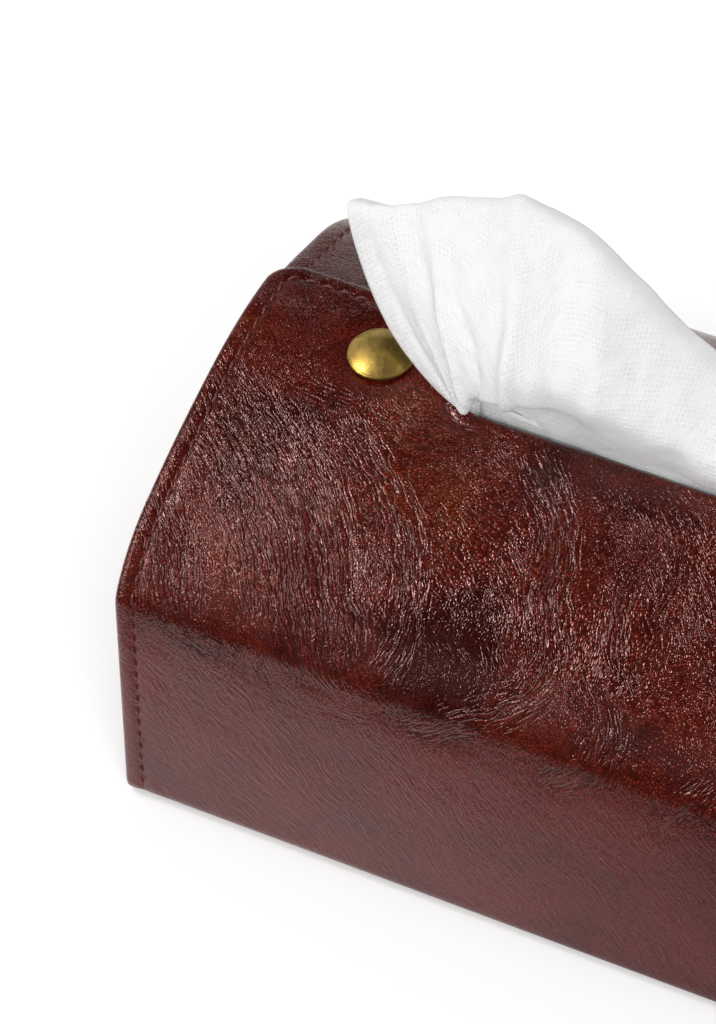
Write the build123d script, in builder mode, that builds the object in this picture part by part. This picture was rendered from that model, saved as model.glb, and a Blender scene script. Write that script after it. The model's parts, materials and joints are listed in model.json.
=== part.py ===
from build123d import *

import math
import os

# Soft leather tissue case. A sewn tray of leather, board and lining carries two arched roof flaps.
# Each flap folds at the top of its wall. The front flap laps over the rear one at both ends, where
# a press stud holds it, and between the two laps a slot lets the tissues out.
# Millimetres. Long axis along X, front towards -Y, up is +Z, origin at the middle of the footprint.

# ---- Overall size ----
length = 250.0              # over the sewn edges of both ends
depth = 130.0               # front face to rear face
crease_height = 67.0        # table to the fold of the front flap
rear_crease_height = 64.0   # the rear flap folds lower, because it lies under the front one

# ---- Sheet materials ----
leather = 1.2
lining = 0.6
board = 1.6

# ---- Tray ----
corner_radius = 4.0         # outer bend between the base and the walls
seam_width = 5.4            # sewn edge outside each end panel
board_margin = 1.5          # bare fold left beside each board
end_clearance = 0.4         # flap's lining to the top edge of an end panel
end_step = 1.0              # end board and lining stop this much under the panel's edge

# ---- Roof section ----
crown_height = 96.0         # table to the top of the front flap
crown_y = 4.5               # the crown lies this far behind the centre line
crown_radius = 78.0
front_crown_turn = 12.5     # degrees of crown arc in front of the top
side_radius = 200.0         # nearly flat front slope
side_length = 38.0
rear_crown_turn = 18.0      # degrees of crown arc behind the top
rear_slope = 12.0           # straight run behind the crown arc

# ---- Flap outlines ----
front_reach = 20.0          # front flap's lap edge, behind the centre line
rear_reach = 13.0           # rear flap's lap edge, in front of the centre line
slot_front = 5.8            # front lip of the slot, in front of the centre line
slot_rear = 6.0             # rear lip of the slot, behind the centre line
slot_length = 140.0
lap_corner = 8.0
slot_corner = 5.0
lining_margin = 0.5         # lining stops this much inside the leather's edge
fold_setback = 2.5          # lining starts this far from the fold's axis
fold_gap = 0.4              # play between a wall's edge and the flap's rolled end
fold_bevel = 0.6            # skived edge of the wall at the fold

# ---- Press studs ----
snap_inset = 33.5           # from each end
snap_y = 1.0                # behind the centre line
cap_diameter = 15.0
cap_rise = 2.6              # crown of the cap over the leather
cap_rim = 1.1               # thickness of the rolled rim
cap_sunk = 0.3              # rim pressed into the leather
post_diameter = 3.0
socket_diameter = 12.0
socket_bore = 8.4
socket_groove = 10.0
socket_height = 1.6         # under the lining
socket_sunk = 0.3           # roof of the socket, pressed into the lining
socket_lip = 0.3            # under the groove
stud_base = 11.0
stud_base_height = 0.5
stud_sunk = 0.4             # part of the base that is pressed into the leather
stud_neck = 4.4
stud_head = 5.0
stud_bead = 0.35
stud_rise = 1.75            # top of the stud over the rear flap's leather
snap_clearance = 0.4        # socket's mouth to the stud's base
spring_wire = 0.5
spring_fit = 0.05           # stud's bead to each leg of the spring
spring_corner = 2.0
spring_split = 0.8
rivet_flange = 9.0
rivet_height = 0.5
rivet_sunk = 0.25           # flange pressed into the rear flap's lining

# ---- Tissues ----
stack_end_play = 17.0       # stack to each end lining
stack_side_play = 3.6       # stack to the tray lining, front and rear
stack_height = 50.0
stack_corner = 4.0
stack_leaves = 10           # folded leaves that show on the sides
leaf_groove = 0.6
sheet = 1.0                 # soft body of the drawn sheet
sheet_foot = 0.3            # stack to the foot of the drawn sheet
neck_half = 60.0            # half width of the sheet inside the slot
neck_wave = 3.2
neck_top = 2.0              # the neck runs straight this far over the crown
folds = 6                   # half waves across the sheet

os.makedirs("parts", exist_ok=True)

# ---- Places that follow from the sizes above ----
wall_stack = leather + board + lining
flap_sheet = leather + lining
flap_gap = socket_height + snap_clearance + stud_base_height - stud_sunk
rear_drop = flap_sheet + flap_gap       # front flap's face to the rear flap's, in the lap
half_length = length / 2
half_depth = depth / 2
panel_x = half_length - seam_width      # outer face of each end panel
tray_x = panel_x - leather              # boards and tray lining stop here
axis_y = half_depth - leather / 2
front_fold = (-axis_y, crease_height)
rear_fold = (axis_y, rear_crease_height)
crown_centre = (crown_y, crown_height - crown_radius)
front_top = crease_height - leather / 2 - fold_gap      # upper edge of the front wall
rear_top = rear_crease_height - leather / 2 - fold_gap
board_foot = corner_radius + board_margin
stack_length = 2 * (panel_x - wall_stack - stack_end_play)
stack_depth = depth - 2 * (wall_stack + stack_side_play)
stack_top = wall_stack + stack_height
above_all = 2 * crown_height


def angle_at(y, radius):
    """Angle from the vertical, in degrees, of the point at `y` on an arc about the crown centre."""
    return math.degrees(math.asin((y - crown_y) / radius))


def finish(builder, name):
    """Label a finished sub-part and write it."""
    builder.part.label = name
    export_step(builder.part, f"parts/{name}.step")


# ---- Lines of the roof, drawn in the YZ plane inside an open BuildLine ----
front_lap = angle_at(front_reach, crown_radius)
rear_lap = angle_at(-rear_reach, crown_radius - rear_drop)
side_turn = math.degrees(side_length / side_radius)


def front_slope(inset):
    """The front flap's line from its lap edge to the shoulder, `inset` under its face."""
    crown = CenterArc(
        crown_centre, crown_radius - inset, 90 - front_lap, front_lap + front_crown_turn)
    side = JernArc(crown @ 1, crown % 1, side_radius - inset, side_turn)
    return crown @ 0, side @ 1, side % 1


def rear_slope_line(inset):
    """The rear flap's line from its lap edge to the shoulder, `inset` under its face."""
    crown = CenterArc(
        crown_centre, crown_radius - rear_drop - inset, 90 - rear_lap, rear_lap - rear_crown_turn)
    slope = Line(crown @ 1, crown @ 1 + (crown % 1) * rear_slope)
    return crown @ 0, slope @ 1, slope % 1


def shoulder_to(slope_line, fold):
    """Radius and turn of the arc that brings the middle of a flap's leather to its fold."""
    with BuildLine():
        start, end, way = slope_line(leather / 2)
        arc = TangentArc(end, fold, tangent=way)
    turn = math.degrees(arc.length / arc.radius)
    return arc.radius + leather / 2, math.copysign(turn, -fold[0])


roof = {
    "front": (front_slope, *shoulder_to(front_slope, front_fold)),
    "rear": (rear_slope_line, *shoulder_to(rear_slope_line, rear_fold)),
}


def roof_line(flap, inset):
    """A flap's whole line, `inset` under its face. Returns its lap end and its fold end."""
    slope_line, radius, turn = roof[flap]
    start, end, way = slope_line(inset)
    shoulder = JernArc(end, way, radius - inset, turn)
    return start, shoulder @ 1


def tray_line(inset, drop):
    """The tray's U-shaped line, `inset` inside its outer face, ending `drop` under both walls' tops."""
    y = half_depth - inset
    FilletPolyline(
        (-y, front_top - drop), (-y, inset), (y, inset), (y, rear_top - drop),
        radius=corner_radius - inset)


# ---- Tray: outer leather, boards and lining ----
with BuildPart() as outer_wrap:
    with BuildSketch(Plane.YZ):
        with BuildLine():
            tray_line(leather / 2, 0.0)
        trace(line_width=leather)
    extrude(amount=half_length, both=True)
    faces_edges = outer_wrap.edges().filter_by(Axis.X).group_by(Axis.Y)
    chamfer([faces_edges[side].sort_by(Axis.Z)[-1] for side in (0, -1)], fold_bevel)
finish(outer_wrap, "outer_wrap")

for board_name, board_way, wall_top in (("front_board", -1, front_top), ("rear_board", 1, rear_top)):
    with BuildPart() as wall_board:
        with BuildSketch(Plane.XY.offset(board_foot)):
            with Locations((0, board_way * (half_depth - leather - board / 2))):
                Rectangle(2 * tray_x, board)
        extrude(amount=wall_top - board_margin - board_foot)
    finish(wall_board, board_name)

with BuildPart() as base_board:
    with BuildSketch(Plane.XY.offset(leather)):
        Rectangle(2 * tray_x, depth - 2 * board_foot)
    extrude(amount=board)
finish(base_board, "base_board")

with BuildPart() as tray_lining:
    with BuildSketch(Plane.YZ):
        with BuildLine():
            tray_line(leather + board + lining / 2, board_margin)
        trace(line_width=lining)
    extrude(amount=tray_x, both=True)
finish(tray_lining, "tray_lining")


# ---- End panels: leather turned out into the side seams, a board and a lining inside ----
def space_over(flap, reach, inset):
    """All that lies over the line `inset` under a flap's face, out to its lap edge at `reach`."""
    with BuildSketch() as space:
        with BuildLine():
            lap, fold = roof_line(flap, inset)
            y_fold = math.copysign(depth, fold.X)
            y_lap = -math.copysign(reach + end_clearance, fold.X)
            Polyline(
                fold, (y_fold, fold.Y), (y_fold, above_all), (y_lap, above_all),
                (y_lap, lap.Y), lap)
        make_face()
    return space.sketch


def end_outline(inset, drop):
    """Section of the tray `inset` inside its outer face, closed off `drop` under the flaps."""
    with BuildSketch() as outline:
        with Locations((0, (inset + above_all) / 2)):
            Rectangle(depth - 2 * inset, above_all - inset)
        fillet(outline.vertices().group_by(Axis.Y)[0], corner_radius - inset)
        add(space_over("front", front_reach, flap_sheet + drop), mode=Mode.SUBTRACT)
        add(space_over("rear", rear_reach, flap_sheet + drop), mode=Mode.SUBTRACT)
    return outline.sketch


panel_outline = end_outline(leather, end_clearance)
inner_outline = end_outline(wall_stack, end_clearance + end_step)
end_layers = (
    ("end_panel", panel_outline, panel_x, leather),
    ("end_board", inner_outline, panel_x - leather, board),
    ("end_lining", inner_outline, panel_x - leather - board, lining),
)
for layer_name, layer_outline, layer_x, thickness in end_layers:
    with BuildPart() as left_layer:
        with BuildSketch(Plane.YZ.offset(-layer_x)):
            add(layer_outline)
        extrude(amount=thickness)
        if layer_name == "end_panel":
            with BuildSketch(Plane.YZ.offset(-half_length)):
                with BuildLine():
                    tray_line(1.5 * leather, board_margin)
                trace(line_width=leather)
            extrude(amount=seam_width)
    finish(left_layer, f"left_{layer_name}")
    with BuildPart() as right_layer:
        mirror(left_layer.part, about=Plane.YZ)
    finish(right_layer, f"right_{layer_name}")


# ---- Flaps ----
def flap_plan(lap_y, lip_y, margin):
    """A flap seen from above: laps out to `lap_y`, and the slot's bay between them at `lip_y`."""
    way = math.copysign(1.0, lap_y - lip_y)
    x_end = half_length - margin
    x_bay = slot_length / 2 + margin
    y_lap = lap_y - way * margin
    y_lip = lip_y - way * margin
    y_back = -way * depth
    with BuildSketch() as plan:
        with BuildLine():
            Polyline(
                (-x_end, y_back), (-x_end, y_lap), (-x_bay, y_lap), (-x_bay, y_lip),
                (x_bay, y_lip), (x_bay, y_lap), (x_end, y_lap), (x_end, y_back), close=True)
        make_face()
        across = plan.vertices().group_by(Axis.Y)
        laps, lips = (across[-1], across[-2]) if way > 0 else (across[0], across[1])
        fillet(laps, lap_corner)
        fillet(lips, slot_corner)
    return plan.sketch


def snap_places(depth_below):
    """Planes on the two press studs' axes, `depth_below` under the front face, facing out."""
    lean = math.radians(angle_at(snap_y, crown_radius))
    radius = crown_radius - depth_below
    y = crown_centre[0] + radius * math.sin(lean)
    z = crown_centre[1] + radius * math.cos(lean)
    up = (0, math.sin(lean), math.cos(lean))
    x = half_length - snap_inset
    return [Plane((side * x, y, z), x_dir=(1, 0, 0), z_dir=up) for side in (-1, 1)]


def press_in(depth_below, diameter, height, way):
    """Recess for a pressed-in part, cut `height` deep from the face `depth_below`.

    The recess faces out where `way` is 1 and in where it is -1.
    """
    overrun = 1.0
    align_z = Align.MAX if way > 0 else Align.MIN
    with Locations(*snap_places(depth_below + way * height - way * (height + overrun))):
        Cylinder(
            diameter / 2, height + overrun, align=(Align.CENTER, Align.CENTER, align_z),
            mode=Mode.SUBTRACT)


flaps = {
    "front": (front_reach, -slot_front, 0.0, front_fold),
    "rear": (-rear_reach, slot_rear, rear_drop, rear_fold),
}
for flap_name, (lap_y, lip_y, face_depth, fold_point) in flaps.items():
    with BuildPart() as flap_leather:
        with BuildSketch(Plane.YZ):
            with BuildLine():
                roof_line(flap_name, leather / 2)
            trace(line_width=leather)
            with Locations(fold_point):
                Circle(leather / 2)
        extrude(amount=half_length, both=True)
        with BuildSketch():
            add(flap_plan(lap_y, lip_y, 0.0))
        extrude(amount=above_all, mode=Mode.INTERSECT)
        with Locations(*snap_places(face_depth)):
            Hole(post_diameter / 2, depth=flap_sheet)
        if flap_name == "front":
            press_in(face_depth, cap_diameter, cap_sunk, 1)
        else:
            press_in(face_depth, stud_base, stud_sunk, 1)
    finish(flap_leather, f"{flap_name}_flap")

    with BuildPart() as flap_liner:
        with BuildSketch(Plane.YZ):
            with BuildLine():
                roof_line(flap_name, leather + lining / 2)
            trace(line_width=lining)
            with Locations(fold_point):
                Circle(fold_setback, mode=Mode.SUBTRACT)
        extrude(amount=half_length, both=True)
        with BuildSketch():
            add(flap_plan(lap_y, lip_y, lining_margin))
        extrude(amount=above_all, mode=Mode.INTERSECT)
        with Locations(*snap_places(face_depth)):
            Hole(post_diameter / 2, depth=2 * flap_sheet)
        if flap_name == "front":
            press_in(face_depth + flap_sheet, socket_diameter, socket_sunk, -1)
        else:
            press_in(face_depth + flap_sheet, rivet_flange, rivet_sunk, -1)
    finish(flap_liner, f"{flap_name}_flap_lining")

# ---- Press studs, each turned about its own axis and set at both ends ----
post_radius = post_diameter / 2

with BuildPart() as cap:
    with BuildSketch(Plane.XZ):
        with BuildLine():
            rim_x = (cap_diameter - cap_rim) / 2
            rim_top = cap_rim - cap_sunk
            Polyline(
                (0, cap_rise), (0, -flap_sheet), (post_radius, -flap_sheet),
                (post_radius, -cap_sunk), (rim_x, -cap_sunk))
            ThreePointArc(
                (rim_x, -cap_sunk), (cap_diameter / 2, cap_rim / 2 - cap_sunk), (rim_x, rim_top))
            TangentArc((0, cap_rise), (rim_x, rim_top), tangent=(1, 0))
        make_face()
    revolve(axis=Axis.Z)

groove_top = -socket_height + socket_lip + spring_wire + 2 * spring_fit
with BuildPart() as socket:
    with BuildSketch(Plane.XZ):
        with BuildLine():
            Polyline(
                (post_radius, 0), (post_radius, socket_sunk), (socket_diameter / 2, socket_sunk),
                (socket_diameter / 2, -socket_height + socket_lip),
                (socket_diameter / 2 - socket_lip, -socket_height), (socket_bore / 2, -socket_height),
                (socket_bore / 2, -socket_height + socket_lip),
                (socket_groove / 2, -socket_height + socket_lip), (socket_groove / 2, groove_top),
                (socket_bore / 2, groove_top), (socket_bore / 2, 0), close=True)
        make_face()
    revolve(axis=Axis.Z)

spring_leg = stud_head / 2 + spring_fit + spring_wire / 2
spring_end = socket_groove / 2 - spring_wire
spring_z = -socket_height + socket_lip + spring_fit + spring_wire / 2
with BuildPart() as spring:
    with BuildLine(Plane.XY.offset(spring_z)) as spring_path:
        FilletPolyline(
            (spring_split / 2, -spring_end), (spring_leg, -spring_end), (spring_leg, spring_end),
            (-spring_leg, spring_end), (-spring_leg, -spring_end), (-spring_split / 2, -spring_end),
            radius=spring_corner)
    with BuildSketch(Plane(spring_path.line @ 0, z_dir=spring_path.line % 0)):
        Circle(spring_wire / 2)
    sweep()

stud_top = stud_base_height - stud_sunk
with BuildPart() as stud:
    with BuildSketch(Plane.XZ):
        with BuildLine():
            bead_foot = stud_rise - stud_bead
            crown_x = (stud_head - stud_bead) / 2
            shank_top = stud_rise - 2 * stud_bead
            Polyline(
                (crown_x, stud_rise), (0, stud_rise), (0, shank_top), (post_radius, shank_top),
                (post_radius, -stud_sunk), (stud_base / 2, -stud_sunk), (stud_base / 2, stud_top),
                (stud_neck / 2, stud_top), (stud_neck / 2, bead_foot), (crown_x, bead_foot))
            ThreePointArc(
                (crown_x, bead_foot), (stud_head / 2, stud_rise - stud_bead / 2),
                (crown_x, stud_rise))
        make_face()
    revolve(axis=Axis.Z)

with BuildPart() as rivet:
    with BuildSketch(Plane.XZ):
        with BuildLine():
            flange_top = -flap_sheet + rivet_sunk
            flange_foot = flange_top - rivet_height
            Polyline(
                (0, shank_top), (0, flange_foot), (rivet_flange / 2 - rivet_height / 2, flange_foot),
                (rivet_flange / 2, flange_top - rivet_height / 2), (rivet_flange / 2, flange_top),
                (post_radius, flange_top), (post_radius, shank_top), close=True)
        make_face()
    revolve(axis=Axis.Z)

hardware = (
    ("snap_caps", cap, 0.0),
    ("snap_sockets", socket, flap_sheet),
    ("snap_springs", spring, flap_sheet),
    ("snap_studs", stud, rear_drop),
    ("snap_rivets", rivet, rear_drop),
)
for set_name, single, depth_below in hardware:
    with BuildPart() as pair:
        with Locations(*snap_places(depth_below)):
            add(single.part)
    finish(pair, set_name)

# ---- Tissues: the folded stack, and the leaf that is drawn through the slot ----
with BuildPart() as tissue_stack:
    with BuildSketch(Plane.XY.offset(wall_stack)):
        RectangleRounded(stack_length, stack_depth, stack_corner)
    extrude(amount=stack_height)
    leaf = stack_height / stack_leaves
    for level in range(1, stack_leaves):
        with BuildSketch(Plane.XY.offset(wall_stack + level * leaf - leaf_groove / 2)):
            RectangleRounded(stack_length, stack_depth, stack_corner)
            RectangleRounded(
                stack_length - 2 * leaf_groove, stack_depth - 2 * leaf_groove,
                stack_corner - leaf_groove, mode=Mode.SUBTRACT)
        extrude(amount=leaf_groove, mode=Mode.SUBTRACT)
finish(tissue_stack, "tissue_stack")

# Height, half width, wave and lean of the drawn leaf's sections, from its foot upwards
neck_height = crown_height + neck_top
sheet_sections = (
    (stack_top + sheet_foot, neck_half, neck_wave, 0.0),
    (neck_height, neck_half, neck_wave, 0.0),
    (neck_height + 9, neck_half + 17, 6.0, 0.0),
    (neck_height + 26, neck_half + 31, 9.0, 4.0),
    (neck_height + 72, neck_half + 38, 12.0, 9.0),
)


def wave_side(half_width, wave, y, way):
    """One long side of a leaf's section, drawn as arcs towards +X or, where `way` is -1, -X."""
    step = 2 * half_width / folds
    for fold in range(folds):
        x = way * (-half_width + fold * step)
        rise = wave if (fold % 2 == 0) == (way > 0) else -wave
        ThreePointArc((x, y), (x + way * step / 2, y + rise), (x + way * step, y))


with BuildPart() as tissue_sheet:
    for z, half_width, wave, lean in sheet_sections:
        with BuildSketch(Plane.XY.offset(z)):
            with BuildLine():
                wave_side(half_width, wave, lean - sheet / 2, 1)
                Line((half_width, lean - sheet / 2), (half_width, lean + sheet / 2))
                wave_side(half_width, wave, lean + sheet / 2, -1)
                Line((-half_width, lean + sheet / 2), (-half_width, lean - sheet / 2))
            make_face()
    loft(ruled=True)
    with BuildSketch(Plane.XZ):
        with BuildLine():
            edge_x = 2 * neck_half
            Polyline(
                (-edge_x, neck_height + 32), (-edge_x, 0), (edge_x, 0), (edge_x, neck_height + 32))
            ThreePointArc(
                (-edge_x, neck_height + 32), (-neck_half, neck_height + 64), (0, neck_height + 46))
            ThreePointArc(
                (0, neck_height + 46), (neck_half, neck_height + 54), (edge_x, neck_height + 32))
        make_face()
    extrude(amount=depth, both=True, mode=Mode.INTERSECT)
finish(tissue_sheet, "tissue_sheet")
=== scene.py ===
"""Looks of a soft leather tissue case, built round its solids."""

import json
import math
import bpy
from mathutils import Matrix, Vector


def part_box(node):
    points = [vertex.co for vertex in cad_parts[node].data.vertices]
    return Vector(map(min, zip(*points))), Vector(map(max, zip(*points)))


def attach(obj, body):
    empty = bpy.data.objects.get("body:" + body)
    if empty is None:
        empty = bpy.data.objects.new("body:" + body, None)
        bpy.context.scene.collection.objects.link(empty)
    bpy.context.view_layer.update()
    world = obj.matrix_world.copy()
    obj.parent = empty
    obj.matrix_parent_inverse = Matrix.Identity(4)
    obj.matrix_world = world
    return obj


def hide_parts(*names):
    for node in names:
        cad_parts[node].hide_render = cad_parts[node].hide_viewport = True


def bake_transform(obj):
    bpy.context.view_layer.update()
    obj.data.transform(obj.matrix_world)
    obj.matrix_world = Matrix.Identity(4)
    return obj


bl_info = {
    "name": "Leather tissue case",
    "version": (1, 0, 0),
    "blender": (4, 5, 0),
    "location": "3D View > Sidebar > Tissue case",
    "description": "Leather, seams, press studs and tissue of a soft tissue case",
    "category": "Object",
}

import bmesh
import bpy
import numpy as np
from mathutils import Matrix, Vector, geometry, kdtree, noise

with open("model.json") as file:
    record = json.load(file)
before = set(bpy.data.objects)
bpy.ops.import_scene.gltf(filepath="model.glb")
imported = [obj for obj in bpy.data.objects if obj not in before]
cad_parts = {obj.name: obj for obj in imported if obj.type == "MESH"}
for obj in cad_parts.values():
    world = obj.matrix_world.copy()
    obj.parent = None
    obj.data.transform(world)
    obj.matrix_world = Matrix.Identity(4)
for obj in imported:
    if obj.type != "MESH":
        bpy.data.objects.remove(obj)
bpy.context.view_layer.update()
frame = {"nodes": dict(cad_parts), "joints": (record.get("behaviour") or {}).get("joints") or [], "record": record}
MM = 0.001
PHOTO_LONG_SIDE = 1024
SENSOR_WIDTH = 36.0
CUT_MAP = "cut"             # UV map that lays a piece flat, in metres


# ---- Sizes and colours that a user would change ----
def length(name, description, millimetres):
    return bpy.props.FloatProperty(
        name=name, description=description, default=millimetres * MM, precision=5, unit="LENGTH")


def angle(name, description, degrees):
    return bpy.props.FloatProperty(
        name=name, description=description, default=math.radians(degrees), subtype="ANGLE")


def share(name, description, value):
    return bpy.props.FloatProperty(
        name=name, description=description, default=value, subtype="FACTOR")


def count(name, description, value):
    return bpy.props.IntProperty(name=name, description=description, default=value, min=1)


def colour(name, description, red, green, blue):
    return bpy.props.FloatVectorProperty(
        name=name, description=description, default=(red, green, blue), subtype="COLOR",
        min=0, max=1)


class RoofSizes(bpy.types.PropertyGroup):
    """Section of the roof, the same as the solids'."""

    crown_y: length("Crown", "The crown lies this far behind the centre line", 4.5)
    crown_radius: length("Crown radius", "Radius of the crown over the front flap's face", 78.0)
    front_crown_turn: angle("Front crown turn", "Crown arc in front of the top", 12.5)
    side_radius: length("Side radius", "Radius of the nearly flat front slope", 200.0)
    side_length: length("Side length", "Length of the front slope", 38.0)
    rear_crown_turn: angle("Rear crown turn", "Crown arc behind the top", 18.0)
    rear_slope: length("Rear slope", "Straight run behind the crown arc", 12.0)
    lap_drop: length("Lap drop", "Front flap's face to the rear flap's", 3.9)
    bend: length("Bend", "Outer bend between base and walls", 4.0)
    slot_length: length("Slot length", "Length of the slot along the roof", 140.0)
    slot_front: length("Slot front", "Front lip, in front of the centre line", 5.8)
    slot_rear: length("Slot rear", "Rear lip, behind the centre line", 6.0)
    lap_corner: length("Lap corner", "Rounding of the laps", 8.0)
    slot_corner: length("Slot corner", "Rounding of the slot's ends", 5.0)


class LeatherSizes(bpy.types.PropertyGroup):
    """Form of the leather skins and their seams."""

    thickness: length("Thickness", "Thickness of the leather", 1.2)
    fold_softness: length("Fold softness", "How softly the wall turns into the flap", 1.5)
    seam_inset: length("Seam inset", "Edge to the stitch line", 4.2)
    bead_rise: length("Bead rise", "Puff of the strip outside the stitches", 0.28)
    groove_depth: length("Groove depth", "Depth that the stitches pull the leather down", 0.3)
    edge_round: length("Edge round", "Rounding of the cut edges", 0.9)
    sway_height: length("Sway height", "Height of the broad waves of the leather", 0.35)
    sway_size: length("Sway size", "Size of the broad waves of the leather", 34.0)
    dimple: length("Dimple", "Depth that each press stud pulls the leather down", 0.5)
    pucker: length("Pucker", "Height of the low ring round each dimple", 0.18)
    fine_step: length("Fine step", "Mesh step across the leather", 1.5)
    coarse_step: length("Coarse step", "Mesh step under the base", 6.0)


class StitchSizes(bpy.types.PropertyGroup):
    """Sewing thread along the seams."""

    pitch: length("Pitch", "Stitch to stitch", 4.1)
    reach: length("Stitch", "Length of one stitch", 3.1)
    thread: length("Thread", "Thickness of the thread", 0.80)
    rise: length("Rise", "How far a stitch stands out", 0.42)
    slant: angle("Slant", "Turn of each stitch across its line", 7.0)
    seed: count("Seed", "Seed of the stitches' small turns", 7)


class TissueSizes(bpy.types.PropertyGroup):
    """The drawn leaf and the stack."""

    thickness: length("Thickness", "Thickness of a leaf", 0.35)
    columns: count("Columns", "Mesh columns across the leaf", 260)
    row_step: length("Row step", "Mesh step up the leaf", 0.8)
    neck_wave: length("Neck wave", "Height of the waves inside the slot", 2.6)
    neck_waves: count("Neck waves", "Waves of the leaf inside the slot", 6)
    crumple: length("Crumple", "Height of the soft crumples", 0.65)
    crumple_size: length("Crumple size", "Size of the soft crumples", 15.0)
    leaves: count("Leaves", "Leaves that show in the side of the stack", 30)
    seed: count("Seed", "Seed of the stack's uneven leaves", 3)


class CaseColours(bpy.types.PropertyGroup):
    """Colours of the finishes."""

    leather_deep: colour("Deep leather", "Darkest of the mottled leather", 0.040, 0.0032, 0.0024)
    leather_red: colour("Red leather", "Main colour of the leather", 0.158, 0.0160, 0.0085)
    leather_brown: colour("Brown leather", "Worn patches of the leather", 0.240, 0.0400, 0.0105)
    # Painted light and sheen: the walls' paler, greyer tone stands in for the light and sheen they catch
    leather_wall_painted_light: colour("Wall leather", "Rubbed leather of the walls", 0.135, 0.0330, 0.0350)
    edge_paint: colour("Edge paint", "Painted cut edges", 0.020, 0.0040, 0.0030)
    thread: colour("Thread", "Sewing thread", 0.110, 0.0200, 0.0160)
    lining: colour("Lining", "Cloth inside the case", 0.060, 0.0350, 0.0260)
    board: colour("Board", "Stiffener board", 0.420, 0.3500, 0.2700)
    brass: colour("Brass", "Bright brass of the studs", 0.620, 0.4100, 0.1150)
    brass_aged: colour("Aged brass", "Darkened brass of the studs", 0.270, 0.1750, 0.0320)
    steel: colour("Steel", "Spring wire", 0.560, 0.5600, 0.5600)
    tissue: colour("Tissue", "White tissue paper", 0.780, 0.7800, 0.7800)
    floor: colour("Floor", "Studio floor", 0.860, 0.8600, 0.8600)


class StageSizes(bpy.types.PropertyGroup):
    """Camera and lamps."""

    camera_x: length("Camera X", "Place of the camera", 191.83)
    camera_y: length("Camera Y", "Place of the camera", -616.05)
    camera_z: length("Camera Z", "Place of the camera", 810.87)
    azimuth: angle("Azimuth", "Camera's turn to the right of the front", 25.10)
    elevation: angle("Elevation", "Camera's look down", 48.474)
    roll: angle("Roll", "Camera's turn about its own axis", -0.221)
    focal_pixels: bpy.props.FloatProperty(
        name="Focal length", description="In pixels of the photograph's frame", default=4500.0)
    floor_size: length("Floor", "Width of the floor", 9000.0)
    room: share("Room light", "Brightness of the room on matt surfaces", 0.48)
    overhead: share("Ceiling", "Brightness of the ceiling in glossy surfaces", 0.02)
    back_wall: share("Back wall", "Brightness of the back wall in glossy surfaces", 0.75)
    left_wall: share("Left wall", "Brightness of the left wall in glossy surfaces", 0.3)
    front_wall: share("Front wall", "Brightness of the front wall in glossy surfaces", 0.4)


class CaseSettings(bpy.types.PropertyGroup):
    """All settings of the case."""

    roof: bpy.props.PointerProperty(name="Roof", description="Roof section", type=RoofSizes)
    leather: bpy.props.PointerProperty(
        name="Leather", description="Leather skins", type=LeatherSizes)
    stitches: bpy.props.PointerProperty(name="Stitches", description="Sewing", type=StitchSizes)
    tissue: bpy.props.PointerProperty(name="Tissue", description="Leaf and stack", type=TissueSizes)
    colours: bpy.props.PointerProperty(name="Colours", description="Finishes", type=CaseColours)
    stage: bpy.props.PointerProperty(name="Stage", description="Camera and lamps", type=StageSizes)


# ---- Sizes that come from the solids ----
def hinge(name):
    """Place of a joint's axis in the section, as (y, z)."""
    joint = next(j for j in frame["joints"] if j["name"] == name)
    return np.array(joint["pos_m"][1:])


HALF_LENGTH, HALF_DEPTH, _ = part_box("outer_wrap")[1]
CROWN_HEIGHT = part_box("front_flap")[1].z
FRONT_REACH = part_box("front_flap")[1].y
REAR_REACH = -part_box("rear_flap")[0].y
FRONT_FOLD = hinge("front_flap_fold")
REAR_FOLD = hinge("rear_flap_fold")


# ---- Small tools for meshes ----
def in_scene(name, data):
    """An object in the scene for a mesh, a lamp or a camera."""
    made = bpy.data.objects.new(name, data)
    bpy.context.scene.collection.objects.link(made)
    return made


def mesh_piece(name, points, faces, smooth=True):
    """A piece from points and faces."""
    mesh = bpy.data.meshes.new(name)
    points = [tuple(map(float, p)) for p in points]
    mesh.from_pydata(points, [], [tuple(map(int, f)) for f in faces])
    mesh.update()
    if smooth:
        mesh.shade_smooth()
    return in_scene(name, mesh)


def lay_flat(piece, flat_points):
    """Stores where each point of the piece lies on the flat cut, in metres, as a UV map."""
    layer = piece.data.uv_layers.new(name=CUT_MAP)
    corner_points = np.zeros(len(piece.data.loops), int)
    piece.data.loops.foreach_get("vertex_index", corner_points)
    layer.data.foreach_set("uv", np.asarray(flat_points, np.float32)[corner_points, :2].ravel())


def dress(piece, *materials):
    piece.data.materials.clear()
    for material in materials:
        piece.data.materials.append(material)


# ---- Section of the leather ----
ARC_STEP = 0.4 * MM
LINE_STEP = 0.25 * MM


def normal_at(turn):
    """Direction in the section at an angle from the vertical, towards +Y, in radians."""
    return np.array([math.sin(turn), math.cos(turn)])


def arc_points(centre, radius, start, end):
    """Points on an arc between two such angles."""
    steps = max(2, int(abs(end - start) * radius / ARC_STEP) + 1)
    turn = np.linspace(start, end, steps)
    return np.c_[centre[0] + radius * np.sin(turn), centre[1] + radius * np.cos(turn)]


def run_of(line):
    """Distance run along a line of points."""
    return np.r_[0, np.cumsum(np.hypot(*np.diff(line, axis=0).T))]


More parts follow.
